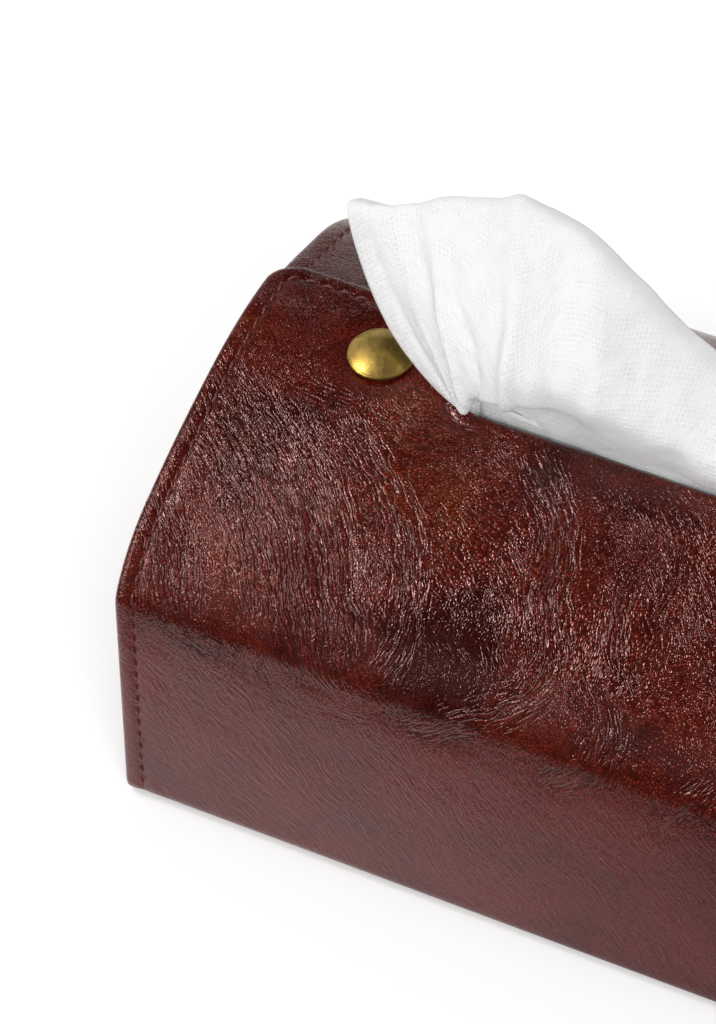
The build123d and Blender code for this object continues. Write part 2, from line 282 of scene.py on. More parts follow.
class Line:
    """A smooth line in the YZ plane, from under the middle of the base to the end of a lap.

    `side` is -1 for the front leather and 1 for the rear one. `lip` is how far along the line the
    slot starts, and `fold` how far along it the wall turns into the flap.
    """

    def __init__(self, side, points, fold, lip_y, softness):
        self.side = side
        points = np.asarray(points)
        gaps = run_of(points)
        keep = np.r_[True, np.diff(gaps) > 1e-9]
        points, gaps = points[keep], gaps[keep]
        run = np.linspace(0, gaps[-1], int(gaps[-1] / LINE_STEP) + 1)
        line = np.c_[np.interp(run, gaps, points[:, 0]), np.interp(run, gaps, points[:, 1])]
        fold_run = run[np.argmin(np.hypot(*(line - fold).T))]
        near = np.exp(-0.5 * ((run - fold_run) / (4 * softness)) ** 4)[:, None]
        self.line = line * (1 - near) + self.softened(line, softness) * near
        self.run = run_of(self.line)
        self.fold = self.run[np.argmin(abs(run - fold_run))]
        self.length = self.run[-1]
        way = np.gradient(self.line, axis=0)
        self.way = way / np.hypot(*way.T)[:, None]
        self.lip = self.run_at_y(lip_y, self.fold)

    @staticmethod
    def softened(line, softness):
        """The line with its bends softened."""
        reach = int(4 * softness / LINE_STEP)
        kernel = np.exp(-0.5 * (np.arange(-reach, reach + 1) * LINE_STEP / softness) ** 2)
        kernel /= kernel.sum()
        padded = np.pad(line, ((reach, reach), (0, 0)), mode="reflect", reflect_type="odd")
        return np.c_[[np.convolve(padded[:, i], kernel, mode="valid") for i in (0, 1)]].T

    def at(self, run):
        """Points and outward normals at distances along the line."""
        place, way = (
            np.c_[[np.interp(run, self.run, values[:, i]) for i in (0, 1)]].T
            for values in (self.line, self.way))
        out = np.c_[way[:, 1] * self.side, -way[:, 0] * self.side]
        return place, out / np.hypot(*out.T)[:, None]

    def run_at_y(self, y, beyond):
        """Distance along the line where it passes `y` after the distance `beyond`."""
        after = self.run > beyond
        return float(self.run[after][np.argmin(abs(self.line[after, 0] - y))])


def shoulder_points(end, turn, fold, thickness):
    """Arc from the slope's end to the fold, on the leather's face."""
    out = normal_at(turn)
    middle = end - out * thickness / 2
    chord = fold - middle
    radius = -(chord @ chord) / (2 * chord @ out)
    centre = middle - radius * out
    stop = math.atan2(*(fold - centre))
    return arc_points(centre, radius + thickness / 2, turn, stop)


def tray_points(side, roof, top):
    """Face of the base and one wall, from the middle of the base up to `top`."""
    centre = (side * (HALF_DEPTH - roof.bend), roof.bend)
    bend = arc_points(centre, roof.bend, side * math.pi, side * math.pi / 2)
    return [(0.0, 0.0), *bend, (side * HALF_DEPTH, top)]


def crown_centre(roof):
    return np.array([roof.crown_y, CROWN_HEIGHT - roof.crown_radius])


def front_line(settings):
    """Section of the front leather, whose slope is a wide arc."""
    roof, leather = settings.roof, settings.leather
    centre, crown_turn = crown_centre(roof), -roof.front_crown_turn
    lap = math.asin((FRONT_REACH - roof.crown_y) / roof.crown_radius)
    crown = arc_points(centre, roof.crown_radius, lap, crown_turn)
    slope_centre = centre + (roof.crown_radius - roof.side_radius) * normal_at(crown_turn)
    slope_turn = crown_turn - roof.side_length / roof.side_radius
    slope = arc_points(slope_centre, roof.side_radius, crown_turn, slope_turn)
    shoulder = shoulder_points(slope[-1], slope_turn, FRONT_FOLD, leather.thickness)
    points = [*tray_points(-1, roof, FRONT_FOLD[1]), *np.vstack([crown, slope, shoulder])[::-1]]
    return Line(-1, points, FRONT_FOLD, -roof.slot_front, leather.fold_softness)


def rear_line(settings):
    """Section of the rear leather, whose slope is straight."""
    roof, leather = settings.roof, settings.leather
    radius, crown_turn = roof.crown_radius - roof.lap_drop, roof.rear_crown_turn
    lap = math.asin((-REAR_REACH - roof.crown_y) / radius)
    crown = arc_points(crown_centre(roof), radius, lap, crown_turn)
    down = np.array([math.cos(crown_turn), -math.sin(crown_turn)])
    slope = crown[-1] + roof.rear_slope * down
    shoulder = shoulder_points(slope, crown_turn, REAR_FOLD, leather.thickness)
    points = [*tray_points(1, roof, REAR_FOLD[1]), *np.vstack([crown, [slope], shoulder])[::-1]]
    return Line(1, points, REAR_FOLD, roof.slot_rear, leather.fold_softness)


# ---- Leather skins ----
def corner_turn(corner, before, after, radius, step):
    """Points round one rounded corner between two unit directions."""
    if radius <= 0.05 * MM:
        return [corner]
    centre = corner - before * radius + after * radius
    start, end = corner - before * radius - centre, corner + after * radius - centre
    steps = max(3, int(radius * math.pi / 2 / (0.6 * step)) + 1)
    return [centre + start * math.cos(t) + end * math.sin(t)
            for t in np.linspace(0, math.pi / 2, steps)]


def rounded_outline(corners, radii, inset, step):
    """Points round a square-cornered outline, `inset` inside it, with its corners rounded.

    A negative radius is an inner corner. Returns the points and, for each, the corner before it.
    """
    corners = [np.array(c, float) for c in corners]
    turns = []
    for i, (corner, following) in enumerate(zip(corners, corners[1:] + corners[:1])):
        before, after = corner - corners[i - 1], following - corner
        before, after = before / np.hypot(*before), after / np.hypot(*after)
        inward = [np.array([-way[1], way[0]]) for way in (before, after)]
        radius = abs(radii[i]) - math.copysign(inset, radii[i]) if radii[i] else 0.0
        moved = corner + inset * (inward[0] + inward[1])
        turns.append(corner_turn(moved, before, after, radius, step))
    outline, owner = [], []
    for i, (points, following) in enumerate(zip(turns, turns[1:] + turns[:1])):
        run = following[0] - points[-1]
        pieces = max(1, int(round(np.hypot(*run) / step)))
        outline += points + [points[-1] + run * k / pieces for k in range(1, pieces)]
        owner += [i] * (len(points) + pieces - 1)
    return np.array(outline), np.array(owner)


def nearest(points, targets):
    """Distance from each point to the nearest target."""
    tree = kdtree.KDTree(len(targets))
    for i, t in enumerate(targets):
        tree.insert((t[0], t[1], 0.0), i)
    tree.balance()
    return np.array([tree.find((p[0], p[1], 0.0))[2] for p in points])


def ripple(points, size, seed):
    """Soft noise from -1 to 1 over flat points, with features of about `size`."""
    return np.array([noise.noise(Vector((p[0] / size, p[1] / size, seed))) for p in points])


def smooth_step(value, low, high):
    t = np.clip((value - low) / (high - low), 0, 1)
    return t * t * (3 - 2 * t)


def hump(away, half_width, power=2):
    """Soft hump of height 1 round no distance."""
    return np.exp(-((away / half_width) ** power))


# The front leather's creases and patches, in millimetres on its flat cut. Places are given as
# (x, run past the fold). Each band of creases has a half width, a depth and the way it follows.
CREASES = (
    (15, 1.0, ((-119, 52), (-109, 44), (-98, 35), (-90, 26), (-84, 16), (-80, 9))),
    (5, 0.9, ((-90, 54), (-79, 46), (-71, 38), (-65, 28), (-61, 15), (-62, 6))),
    (8, 0.8, ((-122, 24), (-115, 15), (-111, 5))),
    (5, 1.0, ((-47, 59), (-39, 49), (-36, 41), (-35, 34), (-31, 25), (-28, 19), (-29, 12), (-35, 6),
              (-43, 0), (-52, -8))),
    (4, 0.7, ((-18, 49), (-19, 37), (-17, 28), (-11, 19))),
    (7, 0.6, ((-18, 16), (-13, 10), (-13, 2), (-20, -9))),
    (4, 0.9, ((11, 2), (7, -6), (3, -16))),
    (4, 0.7, ((-90, 3), (-88, -7), (-83, -14), (-76, -13), (-66, -11))),
    (6, 0.6, ((-61, -17), (-52, -27), (-44, -38), (-38, -47))),
    (5, 0.5, ((-117, -27), (-105, -44), (-92, -57), (-79, -64))),
    (4, 0.7, ((-121, 68), (-114, 61), (-104, 60), (-94, 60))),
    (3.5, 0.6, ((-12, 53), (-10, 45), (-10, 38))),
)
# Each patch has a place, a size, and how worn (above 0) or dark (below 0) the leather is there.
PATCHES = (
    (-79, 58, 10, 0.5), (-57, 40, 15, 0.75), (-75, -3, 8, 0.9), (-30, 3, 12, 0.8),
    (-10, -9, 13, 0.8), (-121, 75, 8, 0.5), (-13, 48, 10, 0.6), (-36, 48, 8, 0.5),
    (-87, 37, 8, 0.3), (-104, 16, 8, 0.3), (-47, 20, 12, -0.8), (-49, 7, 14, -0.8),
    (-92, -4, 14, 0.2), (-99, 59, 9, -0.7), (-49, 59, 9, -0.6), (-10, 11, 10, -0.7),
    (-45, -12, 12, 0.3), (-22, 61, 14, -0.7), (-28, 24, 7, -0.3), (-73, 9, 9, -0.4),
    (-30, -22, 14, 0.2), (-27, 44, 7, -0.4), (-103, 88, 10, -0.5),
)
BAND_SPACING = 40           # millimetres that set one band's pattern apart from the next one's


def band_marks(places, half_width, depth, way):
    """How far places lie across and along one band of creases, and its depth there."""
    way = np.array(way, float)
    knots = run_of(way)
    runs = np.arange(0, knots[-1], 1.0)
    line = curve_through(knots, way, runs)
    heading = np.gradient(line, axis=0)
    heading /= np.hypot(*heading.T)[:, None]
    gaps = places[:, None] - line[None]
    closest = (gaps ** 2).sum(axis=2).argmin(axis=1)
    gap, heading = gaps[np.arange(len(places)), closest], heading[closest]
    beyond = (gap * heading).sum(axis=1)
    across = gap[:, 0] * heading[:, 1] - gap[:, 1] * heading[:, 0]
    strength = depth * np.exp(-(across / half_width) ** 2 - (beyond / half_width) ** 2)
    return across, beyond + runs[closest], strength


def mark_leather(piece, flat, fold, creases, patches):
    """Stores creases and worn patches on a skin's points, for its material.

    "creases" holds, in millimetres, how far a point lies across and along its band, then the
    band's depth there. "worn" is above 0 on worn leather and below 0 on dark leather.
    """
    places = (flat - (0.0, fold)) / MM
    marks = np.c_[places, np.zeros(len(places))]
    second = np.zeros(len(places))
    for number, band in enumerate(creases):
        across, along, strength = band_marks(places, *band)
        better = strength > marks[:, 2]
        second = np.maximum(second, np.minimum(strength, marks[:, 2]))
        found = np.c_[across + BAND_SPACING * number, along, strength]
        marks[better] = found[better]
    marks[:, 2] -= second        # no depth where one band gives way to the next
    worn = np.zeros(len(places))
    for x, run, size, amount in patches:
        worn += amount * np.exp(-(((places - (x, run)) ** 2).sum(axis=1) / size ** 2))
    for name, kind, field, values in (
            ("creases", "FLOAT_VECTOR", "vector", marks), ("worn", "FLOAT", "value", worn)):
        layer = piece.data.attributes.new(name, kind, "POINT")
        layer.data.foreach_set(field, np.concatenate([values, values]).astype(np.float32).ravel())


# Rows of points beside the edges, in millimetres from the edge
SEAM_ROWS = (0.0, 0.15, 0.4, 0.8, 1.3, 1.9, 2.6, 3.2, 3.7, 4.2, 4.7, 5.3, 6.2, 7.4)
SEWN, LIP, OPEN = "sewn", "lip", "open"
FRONT_SEED, REAR_SEED = 3.0, 11.0       # for each skin's broad waves
BEND_REACH = 2.5 * MM                   # of each side of a fold
DIMPLE_RADIUS = 9 * MM
PUCKER_RADIUS, PUCKER_WIDTH = 12.5 * MM, 2.5 * MM
INNER_PUFF = 0.3                        # of the bead's rise, on the stitches' inner side
FINE_SWAY = 2.3                         # broad waves to the finer ones that lie over them


def skin_outline(line, settings):
    """Flat outline of one skin as corners, radii and the kind of the edge after each corner."""
    roof = settings.roof
    half_slot = roof.slot_length / 2
    lap, lip = line.length, line.lip
    corners = [
        (-HALF_LENGTH, 0), (HALF_LENGTH, 0), (HALF_LENGTH, lap), (half_slot, lap),
        (half_slot, lip), (-half_slot, lip), (-half_slot, lap), (-HALF_LENGTH, lap)]
    radii = [0, 0, roof.lap_corner, roof.lap_corner, -roof.slot_corner, -roof.slot_corner,
             roof.lap_corner, roof.lap_corner]
    kinds = [OPEN, SEWN, SEWN, SEWN, LIP, SEWN, SEWN, SEWN]
    return corners, radii, kinds


def skin_height(line, leather, flat, to_seam, to_edge, dimples, seed):
    """Height of the leather's face over the plain section at flat points."""
    inset = leather.seam_inset
    strip = np.clip(to_seam / inset, 0, 1)
    height = leather.bead_rise * np.sin(math.pi * strip ** 0.8) ** 1.2
    height -= leather.groove_depth * hump(to_seam - inset, 0.40 * MM)
    height += INNER_PUFF * leather.bead_rise * hump(to_seam - 1.7 * inset, 1.6 * MM)
    corner = np.clip(leather.edge_round - to_edge, 0, None)
    height -= leather.edge_round - np.sqrt(leather.edge_round ** 2 - corner ** 2 * 0.92)
    calm = smooth_step(to_edge, 5 * MM, 16 * MM)
    raised = smooth_step(flat[:, 1], line.fold - 50 * MM, line.fold - 10 * MM)
    size = leather.sway_size
    sway = ripple(flat, size, seed) + 0.5 * ripple(flat, size / FINE_SWAY, seed + 5)
    height += leather.sway_height * sway * calm * raised
    for x, run in dimples:
        away = np.hypot(flat[:, 0] - x, flat[:, 1] - run)
        height -= leather.dimple * hump(away, DIMPLE_RADIUS, 4)
        height += leather.pucker * hump(away - PUCKER_RADIUS, PUCKER_WIDTH)
    standing = smooth_step(flat[:, 1], HALF_DEPTH - 6 * MM, HALF_DEPTH + 2 * MM)
    return np.minimum(height, 0) + np.maximum(height, 0) * standing


def skin_grid(line, settings):
    """Flat points that fill a skin: close together in bends, far apart under the base."""
    leather = settings.leather
    flat_base = HALF_DEPTH - 3 * settings.roof.bend

    def step_at(run):
        return leather.coarse_step if run < flat_base else leather.fine_step

    run, runs = leather.coarse_step, []
    while run < line.length:
        runs.append(run)
        _, out = line.at(np.array([run, run + leather.fine_step]))
        turn = math.acos(max(-1.0, min(1.0, float(out[0] @ out[1]))))
        run += min(step_at(run), max(0.45 * MM, leather.fine_step * 0.12 / max(turn, 1e-3)))
    grid = []
    for i, run in enumerate(runs):
        step = step_at(run)
        xs = np.arange(-HALF_LENGTH + 0.5 * step * (i % 2), HALF_LENGTH, step)
        grid.append(np.c_[xs, np.full(len(xs), run)])
    return np.vstack(grid)


def in_skin(points, line, settings, margin):
    """Whether flat points lie inside the skin's plain outline."""
    x, run = abs(points[:, 0]), points[:, 1]
    inside = (x < HALF_LENGTH - margin) & (run > margin) & (run < line.length - margin)
    beside_slot = x < settings.roof.slot_length / 2 + margin
    return inside & ~(beside_slot & (run > line.lip - margin))


def skin_cut(line, settings):
    """Flat points and triangles of one skin, the points round its edge, and the distances from
    each point to the nearest sewn edge and to the nearest cut edge.
    """
    corners, radii, kinds = skin_outline(line, settings)
    step = settings.leather.fine_step
    edge, _ = rounded_outline(corners, radii, 0.0, step)
    fine_edge, owner = rounded_outline(corners, radii, 0.0, 0.3 * MM)
    kind = np.array(kinds)[owner]
    sewn_edge, cut_edge = fine_edge[kind == SEWN], fine_edge[kind != OPEN]
    last_row = SEAM_ROWS[-1] * MM
    flat = [edge]
    for inset in SEAM_ROWS[1:]:
        row, _ = rounded_outline(corners, radii, inset * MM, step)
        flat.append(row[row[:, 1] > last_row])
    grid = skin_grid(line, settings)
    grid = grid[in_skin(grid, line, settings, last_row + 0.4 * step)]
    flat.append(grid[nearest(grid, cut_edge) > last_row + 0.5 * step])
    rim = len(edge)
    loop = [(i, (i + 1) % rim) for i in range(rim)]
    points, _, faces, origin, _, _ = geometry.delaunay_2d_cdt(
        [Vector(p / MM) for p in np.vstack(flat)], loop, [], 1, 1e-4)
    place = {sources[0]: i for i, sources in enumerate(origin) if sources}
    flat = np.array([tuple(p) for p in points]) * MM
    ring = [place[i] for i in range(rim)]
    return flat, [tuple(f) for f in faces], ring, nearest(flat, sewn_edge), nearest(flat, cut_edge)


def leather_skin(name, line, settings, dimples, seed, creases, patches):
    """One leather skin, from the middle of the base over its wall to the lap."""
    leather = settings.leather
    flat, faces, ring, to_seam, to_edge = skin_cut(line, settings)
    height = skin_height(line, leather, flat, to_seam, to_edge, dimples, seed)
    backing = 0.22 * MM * hump(to_edge, 0.4 * MM) - leather.thickness
    section, out = line.at(flat[:, 1])
    verts = np.vstack([
        np.c_[flat[:, 0], section + out * amount[:, None]] for amount in (height, backing)])
    first, second, third = (flat[[f[i] for f in faces]] for i in range(3))
    one, other = second - first, third - first
    area = (one[:, 0] * other[:, 1] - other[:, 0] * one[:, 1]).sum()
    outwards = (area > 0) == (line.side < 0)
    if not outwards:
        faces = [f[::-1] for f in faces]
    total = len(flat)
    shell = faces + [tuple(total + v for v in f[::-1]) for f in faces]
    for a, b in zip(ring, ring[1:] + ring[:1]):
        wall = (a, total + a, total + b, b)
        shell.append(wall if outwards else wall[::-1])
    piece = mesh_piece(name, verts, shell)
    lay_flat(piece, np.vstack([flat, flat]))
    mark_leather(piece, flat, line.fold, creases, patches)
    for polygon in piece.data.polygons[-len(ring):]:
        polygon.material_index = 1
    return piece


# ---- Materials ----
# Sizes and heights of the leather's patterns, in millimetres, and how its creases lean
HIGHLIGHT = (1.0, 0.60, 0.56, 1.0)      # tint of the leather's highlights
CREASE_LEAN = math.radians(56.0)        # from the run up the case to the creases outside the bands
LINE_LEAN = math.radians(38.0)          # and to the fine lines on the walls
CREASE_WIDTH = 1.15
GRAIN_SIZE = 0.54
LINE_WIDTH = 0.7
CREASE_HEIGHT = 0.190
FOLD_HEIGHT = 0.60
GRAIN_HEIGHT = 0.070
LINE_HEIGHT = 0.24
BORDER = (-18.0, -2.0)                  # from the fold, where wall leather turns into roof leather
BORDER_SWAY = 12.0                      # and how far this border wanders up and down
# Clouds of the leather: size and amount of their warp, then their size, detail and roughness
MOTTLE = (36.0, 18.0, 30.0, 5.0, 0.55)
FLECKS = (9.0, 4.0, 6.0, 4.0, 0.6)
CREASED_PLACES = (40.0, 20.0, 26.0, 4.0, 0.6)
WHITE = (1.0, 1.0, 1.0, 1.0)


class Nodes:
    """A node tree whose nodes are added one at a time."""

    def __init__(self, tree):
        self.nodes, self.links = tree.nodes, tree.links

    def make(self, kind, inputs=(), **choices):
        """Adds a node, with its inputs given as values or as other nodes' outputs."""
        made = self.nodes.new(kind)
        for key, value in choices.items():
            setattr(made, key, value)
        self.fill(made, inputs)
        return made

    def fill(self, made, inputs):
        for key, value in dict(inputs).items():
            if isinstance(value, bpy.types.NodeSocket):
                self.links.new(value, made.inputs[key])
            else:
                made.inputs[key].default_value = value

    def add(self, kind, inputs=(), output=0, **choices):
        """Adds a node and returns one of its outputs."""
        return self.make(kind, inputs, **choices).outputs[output]

    def maths(self, operation, first, second=0.0, third=0.0):
        return self.add("ShaderNodeMath", {0: first, 1: second, 2: third}, operation=operation)

    def product(self, first, *others):
        for other in others:
            first = self.maths("MULTIPLY", first, other)
        return first

    def total(self, first, *others):
        for other in others:
            first = self.maths("ADD", first, other)
        return first

    def raised(self, base, value, factor):
        """`base` with `value` times `factor` added."""
        return self.maths("MULTIPLY_ADD", value, factor, base)

    def blended(self, amount, first, second):
        """Passes from one number to another."""
        rest = self.maths("SUBTRACT", 1.0, amount)
        return self.total(self.product(first, rest), self.product(second, amount))

    def span(self, value, low, high, to_low=0.0, to_high=1.0):
        """Maps a range onto another, clamped and eased."""
        return self.add(
            "ShaderNodeMapRange", {
                "Value": value, "From Min": low, "From Max": high,
                "To Min": to_low, "To Max": to_high},
            interpolation_type="SMOOTHSTEP")

    def eased(self, amount, first, second):
        """Passes from one number to another as `amount` goes from 0 to 1."""
        return self.span(amount, 0.0, 1.0, first, second)

    def part(self, vector, axis):
        """One number of a vector."""
        return self.add("ShaderNodeSeparateXYZ", {0: vector}, output=axis)


class Finish(Nodes):
    """A material round one shader. Its patterns are measured in millimetres."""

    def __init__(self, name):
        self.material = bpy.data.materials.new(name)
        self.material.use_nodes = True
        super().__init__(self.material.node_tree)
        self.shader = self.nodes["Principled BSDF"]

    def set(self, **inputs):
        """Sets inputs of the shader. An underscore stands for a space."""
        self.fill(self.shader, {key.replace("_", " "): value for key, value in inputs.items()})

    def mix(self, amount, first, second):
        """Mixes two colours."""
        return self.add(
            "ShaderNodeMix", {0: amount, 6: first, 7: second}, output=2, data_type="RGBA")

    def scaled(self, vector, factor):
        return self.add("ShaderNodeVectorMath", {0: vector, 3: factor}, operation="SCALE")

    def cut_place(self):
        """Place on the flat cut."""
        return self.scaled(self.add("ShaderNodeUVMap", uv_map=CUT_MAP), 1 / MM)

    def object_place(self):
        """Place in the object's own frame."""
        return self.scaled(self.add("ShaderNodeTexCoord", output="Object"), 1 / MM)

    def stored(self, name, output):
        """What a piece's points store under `name`: output 1 is a vector, 2 a number."""
        return self.add("ShaderNodeAttribute", attribute_name=name, output=output)

    def stretched(self, vector, stretch, turn=0.0):
        """Vector whose patterns are drawn out by `stretch` along axes that are turned about Z."""
        return self.add(
            "ShaderNodeMapping", {"Vector": vector, "Scale": stretch, "Rotation": (0, 0, turn)},
            vector_type="TEXTURE")

    def drawn_out(self, vector, factor, lean=0.0):
        """Vector whose patterns are drawn out along a direction that leans away from Y."""
        return self.stretched(vector, (1.0, factor, 1.0), lean)

    def cloud(self, vector, size, detail=3.0, roughness=0.55):
        """Noise with features of about `size`."""
        return self.add(
            "ShaderNodeTexNoise",
            {"Vector": vector, "Scale": 1 / size, "Detail": detail, "Roughness": roughness})

    def warped(self, vector, size, amount):
        """Vector moved about by soft noise, by up to about `amount`."""
        push = self.add(
            "ShaderNodeTexNoise", {"Vector": vector, "Scale": 1 / size, "Detail": 2.0},
            output="Color")
        push = self.add(
            "ShaderNodeVectorMath", {0: push, 1: (0.5, 0.5, 0.5)}, operation="SUBTRACT")
        return self.add(
            "ShaderNodeVectorMath", {0: self.scaled(push, 2 * amount), 1: vector},
            operation="ADD")

    def warped_cloud(self, vector, warp_size, warp_amount, size, detail, roughness):
        return self.cloud(self.warped(vector, warp_size, warp_amount), size, detail, roughness)

    def ridges(self, vector, size, detail, width):
        """Narrow winding valleys, from 0 in the valleys to 1 between them."""
        noise_value = self.cloud(vector, size, detail=detail, roughness=0.5)
        return self.span(self.maths("ABSOLUTE", self.raised(-1.0, noise_value, 2.0)), 0.0, width)

    def pebbles(self, vector, size, sharp):
        """Rounded grains, from 0 in the valleys between them to 1."""
        edge = self.add(
            "ShaderNodeTexVoronoi", {"Vector": vector, "Scale": 1 / size},
            feature="DISTANCE_TO_EDGE")
        return self.span(edge, 0.0, sharp)

    def bump(self, height):
        """Bump from a height."""
        return self.add("ShaderNodeBump", {"Height": height, "Distance": MM})


def rgba(value):
    return (*value, 1.0)


def leather_tone(f, colours, place, flecks, roof, worn):
    """Red that mottles to near black and to worn brown. The walls are painted paler and greyer, standing in for
    the light and sheen they catch.
    """
    deep, red, brown, wall = (rgba(c) for c in (
        colours.leather_deep, colours.leather_red, colours.leather_brown, colours.leather_wall_painted_light))
    mottle = f.warped_cloud(place, *MOTTLE)
    level = f.raised(f.raised(f.raised(-0.5, mottle, 1.5), worn, 0.36), flecks, 0.5)
    level = f.product(level, f.eased(roof, 0.7, 1.0))
    tone = f.mix(f.span(level, 0.10, 0.55), deep, red)
    tone = f.mix(f.span(level, 0.55, 1.00), tone, brown)
    # Painted light and sheen: below the fold the tone passes into the paler, greyer wall colour
    return f.mix(f.eased(roof, 0.45, 0.0), tone, wall)


def leather_height(f, place, marks, roof, creased, worn):
    """Height of the leather's creases, folds and grain, and how deep a place lies among them, as a mask for
    painted shade in the grain's hollows and the crease grooves.

    The bands of creases follow `marks`. The leather between them has weaker creases of its own.
    """
    swirl = f.warped(f.warped(place, 80.0, 26.0), 14.0, 2.4)
    tangled = f.warped(swirl, 3.0, 0.40)
    creases = f.ridges(f.drawn_out(tangled, 6.5, CREASE_LEAN), CREASE_WIDTH, 2.0, 0.22)
    folds = f.cloud(f.drawn_out(swirl, 3.0, CREASE_LEAN), 7.0, detail=2.0)
    if marks is not None:
        banded = f.span(creased, 0.10, 0.35)
        way = f.warped(f.warped(marks, 12.0, 1.6), 3.0, 0.32)
        band_creases = f.ridges(f.drawn_out(way, 7.0), CREASE_WIDTH, 1.5, 0.24)
        band_folds = f.cloud(f.drawn_out(way, 4.0), 6.0, detail=2.0)
        creases = f.blended(banded, creases, band_creases)
        folds = f.blended(banded, folds, band_folds)
    grain = f.pebbles(f.drawn_out(tangled, 1.3, CREASE_LEAN), GRAIN_SIZE, 0.45)

    places = f.span(f.warped_cloud(place, *CREASED_PLACES), 0.40, 0.62)
    between = f.raised(0.10, places, 0.27)
    strength = f.product(f.maths("MAXIMUM", between, creased), f.eased(roof, 0.35, 1.0))
    rubbed = f.product(f.span(worn, 0.2, 1.0, 0.75, 0.50), f.span(worn, -0.8, 0.0, 0.6, 1.0))
    grainy = f.product(f.eased(roof, 0.8, 1.0), f.raised(rubbed, creased, -0.1))

    creasing = f.product(f.maths("SUBTRACT", creases, 1.0), strength)
    folding = f.product(f.maths("SUBTRACT", folds, 0.5), strength)
    height = f.product(grain, grainy, GRAIN_HEIGHT)
    height = f.raised(f.raised(height, creasing, CREASE_HEIGHT), folding, FOLD_HEIGHT)
    if marks is not None:
        rubs = f.drawn_out(f.warped(place, 24.0, 6.0), 12.0, LINE_LEAN)
        lines = f.cloud(rubs, LINE_WIDTH, roughness=0.6)
        height = f.raised(height, lines, f.eased(roof, LINE_HEIGHT, 0.0))
    # The second value masks painted shade: it is high in the grain's hollows and the crease grooves
    return height, f.span(f.product(grain, f.span(creasing, -0.5, 0.0)), 0.8, 0.0)


def leather_finish(name, settings, fold=None):
    """Glossy mottled leather with fine grain and creases that run in bands.

    `fold` is where the wall turns into the roof, on the cut. With no `fold` the leather is even
    all over and has no bands.
    """
    f = Finish(name)
    if fold is None:
        place, marks, roof, creased, worn = f.object_place(), None, 0.25, 0.0, 0.0
    else:
        place, marks = f.cut_place(), f.stored("creases", 1)
        creased, worn = f.part(marks, 2), f.stored("worn", 2)
        border = f.raised(-BORDER_SWAY, f.cloud(place, 30.0, detail=2.0), 2 * BORDER_SWAY)
        roof = f.span(f.total(f.part(place, 1), border), *(fold / MM + edge for edge in BORDER))
    flecks = f.warped_cloud(place, *FLECKS)
    tone = leather_tone(f, settings.colours, place, flecks, roof, worn)
    height, painted_groove_shade = leather_height(f, place, marks, roof, creased, worn)
    # Painted shade: the grain's hollows and the crease grooves are darkened towards a very dark red
    painted_groove_shade_colour = rgba(0.3 * c for c in settings.colours.leather_deep)
    f.set(Base_Color=f.mix(f.product(painted_groove_shade, f.eased(roof, 0.5, 0.8)), tone, painted_groove_shade_colour),
          Roughness=f.span(flecks, 0.3, 0.7, 0.11, 0.17), Normal=f.bump(height),
          Specular_IOR_Level=0.55, Specular_Tint=HIGHLIGHT)
    return f.material


def edge_finish(settings):
    """Painted cut edge of the leather."""
    f = Finish("edge_paint")
    rub = f.cloud(f.object_place(), 2.5)
    f.set(Base_Color=f.mix(f.span(rub, 0.5, 0.7, 0.0, 0.5), rgba(settings.colours.edge_paint),
                           rgba(settings.colours.leather_red)),
          Roughness=0.5, Specular_IOR_Level=0.25, Specular_Tint=HIGHLIGHT,
          Normal=f.bump(f.product(rub, 0.1)))
    return f.material


def thread_finish(settings):
    """Waxed sewing thread with a twist."""
    f = Finish("waxed_thread")
    place = f.stretched(f.object_place(), (1, 1, 1), 0.7)
    twist = f.add("ShaderNodeTexWave", {"Vector": place, "Scale": 0.9})
    f.set(Base_Color=f.mix(f.eased(twist, 0.0, 0.4), rgba(settings.colours.thread),
                           rgba(settings.colours.leather_deep)),
          Roughness=0.34, Normal=f.bump(f.product(twist, 0.05)))
    return f.material


def cloth_finish(name, tone):
    """Short matt nap of the lining, or the felt of a board."""
    f = Finish(name)
    place = f.object_place()
    nap = f.cloud(place, 0.5, detail=4.0, roughness=0.7)
    shade = f.product(nap, f.span(f.cloud(place, 14.0), 0.3, 0.7, 0.7, 1.3))
    f.set(Base_Color=f.mix(shade, rgba(0.55 * c for c in tone), rgba(tone)),
          Roughness=0.95, Sheen_Weight=0.35, Sheen_Roughness=0.5,
          Normal=f.bump(f.product(nap, 0.12)))
    return f.material


def brass_finish(settings):
    """Aged brass, lightly brushed."""
    f = Finish("aged_brass")
    bright, aged = rgba(settings.colours.brass), rgba(settings.colours.brass_aged)
    place = f.object_place()
    age = f.cloud(f.warped(place, 6.0, 2.0), 5.0, detail=5.0, roughness=0.65)
    spots = f.cloud(place, 0.6, detail=2.0)
    brushed = f.cloud(f.stretched(place, (8.0, 0.4, 0.4), math.radians(-32)), 0.6)
    tone = f.mix(f.span(age, 0.36, 0.66, 0.75, 0.0), bright, aged)
    tone = f.mix(f.span(spots, 0.62, 0.72, 0.0, 0.5), tone, aged)
    f.set(Base_Color=tone, Metallic=1.0, Roughness=f.span(brushed, 0.3, 0.7, 0.32, 0.46),
          Normal=f.bump(f.product(brushed, 0.012)))
    return f.material


def steel_finish(settings):
    """Satin wire, drawn along its length."""
    f = Finish("spring_steel")
    drawn = f.cloud(f.stretched(f.object_place(), (0.4, 5.0, 0.4)), 0.4)
    f.set(Base_Color=rgba(settings.colours.steel), Metallic=1.0,
          Roughness=f.span(drawn, 0.3, 0.7, 0.25, 0.45))
    return f.material


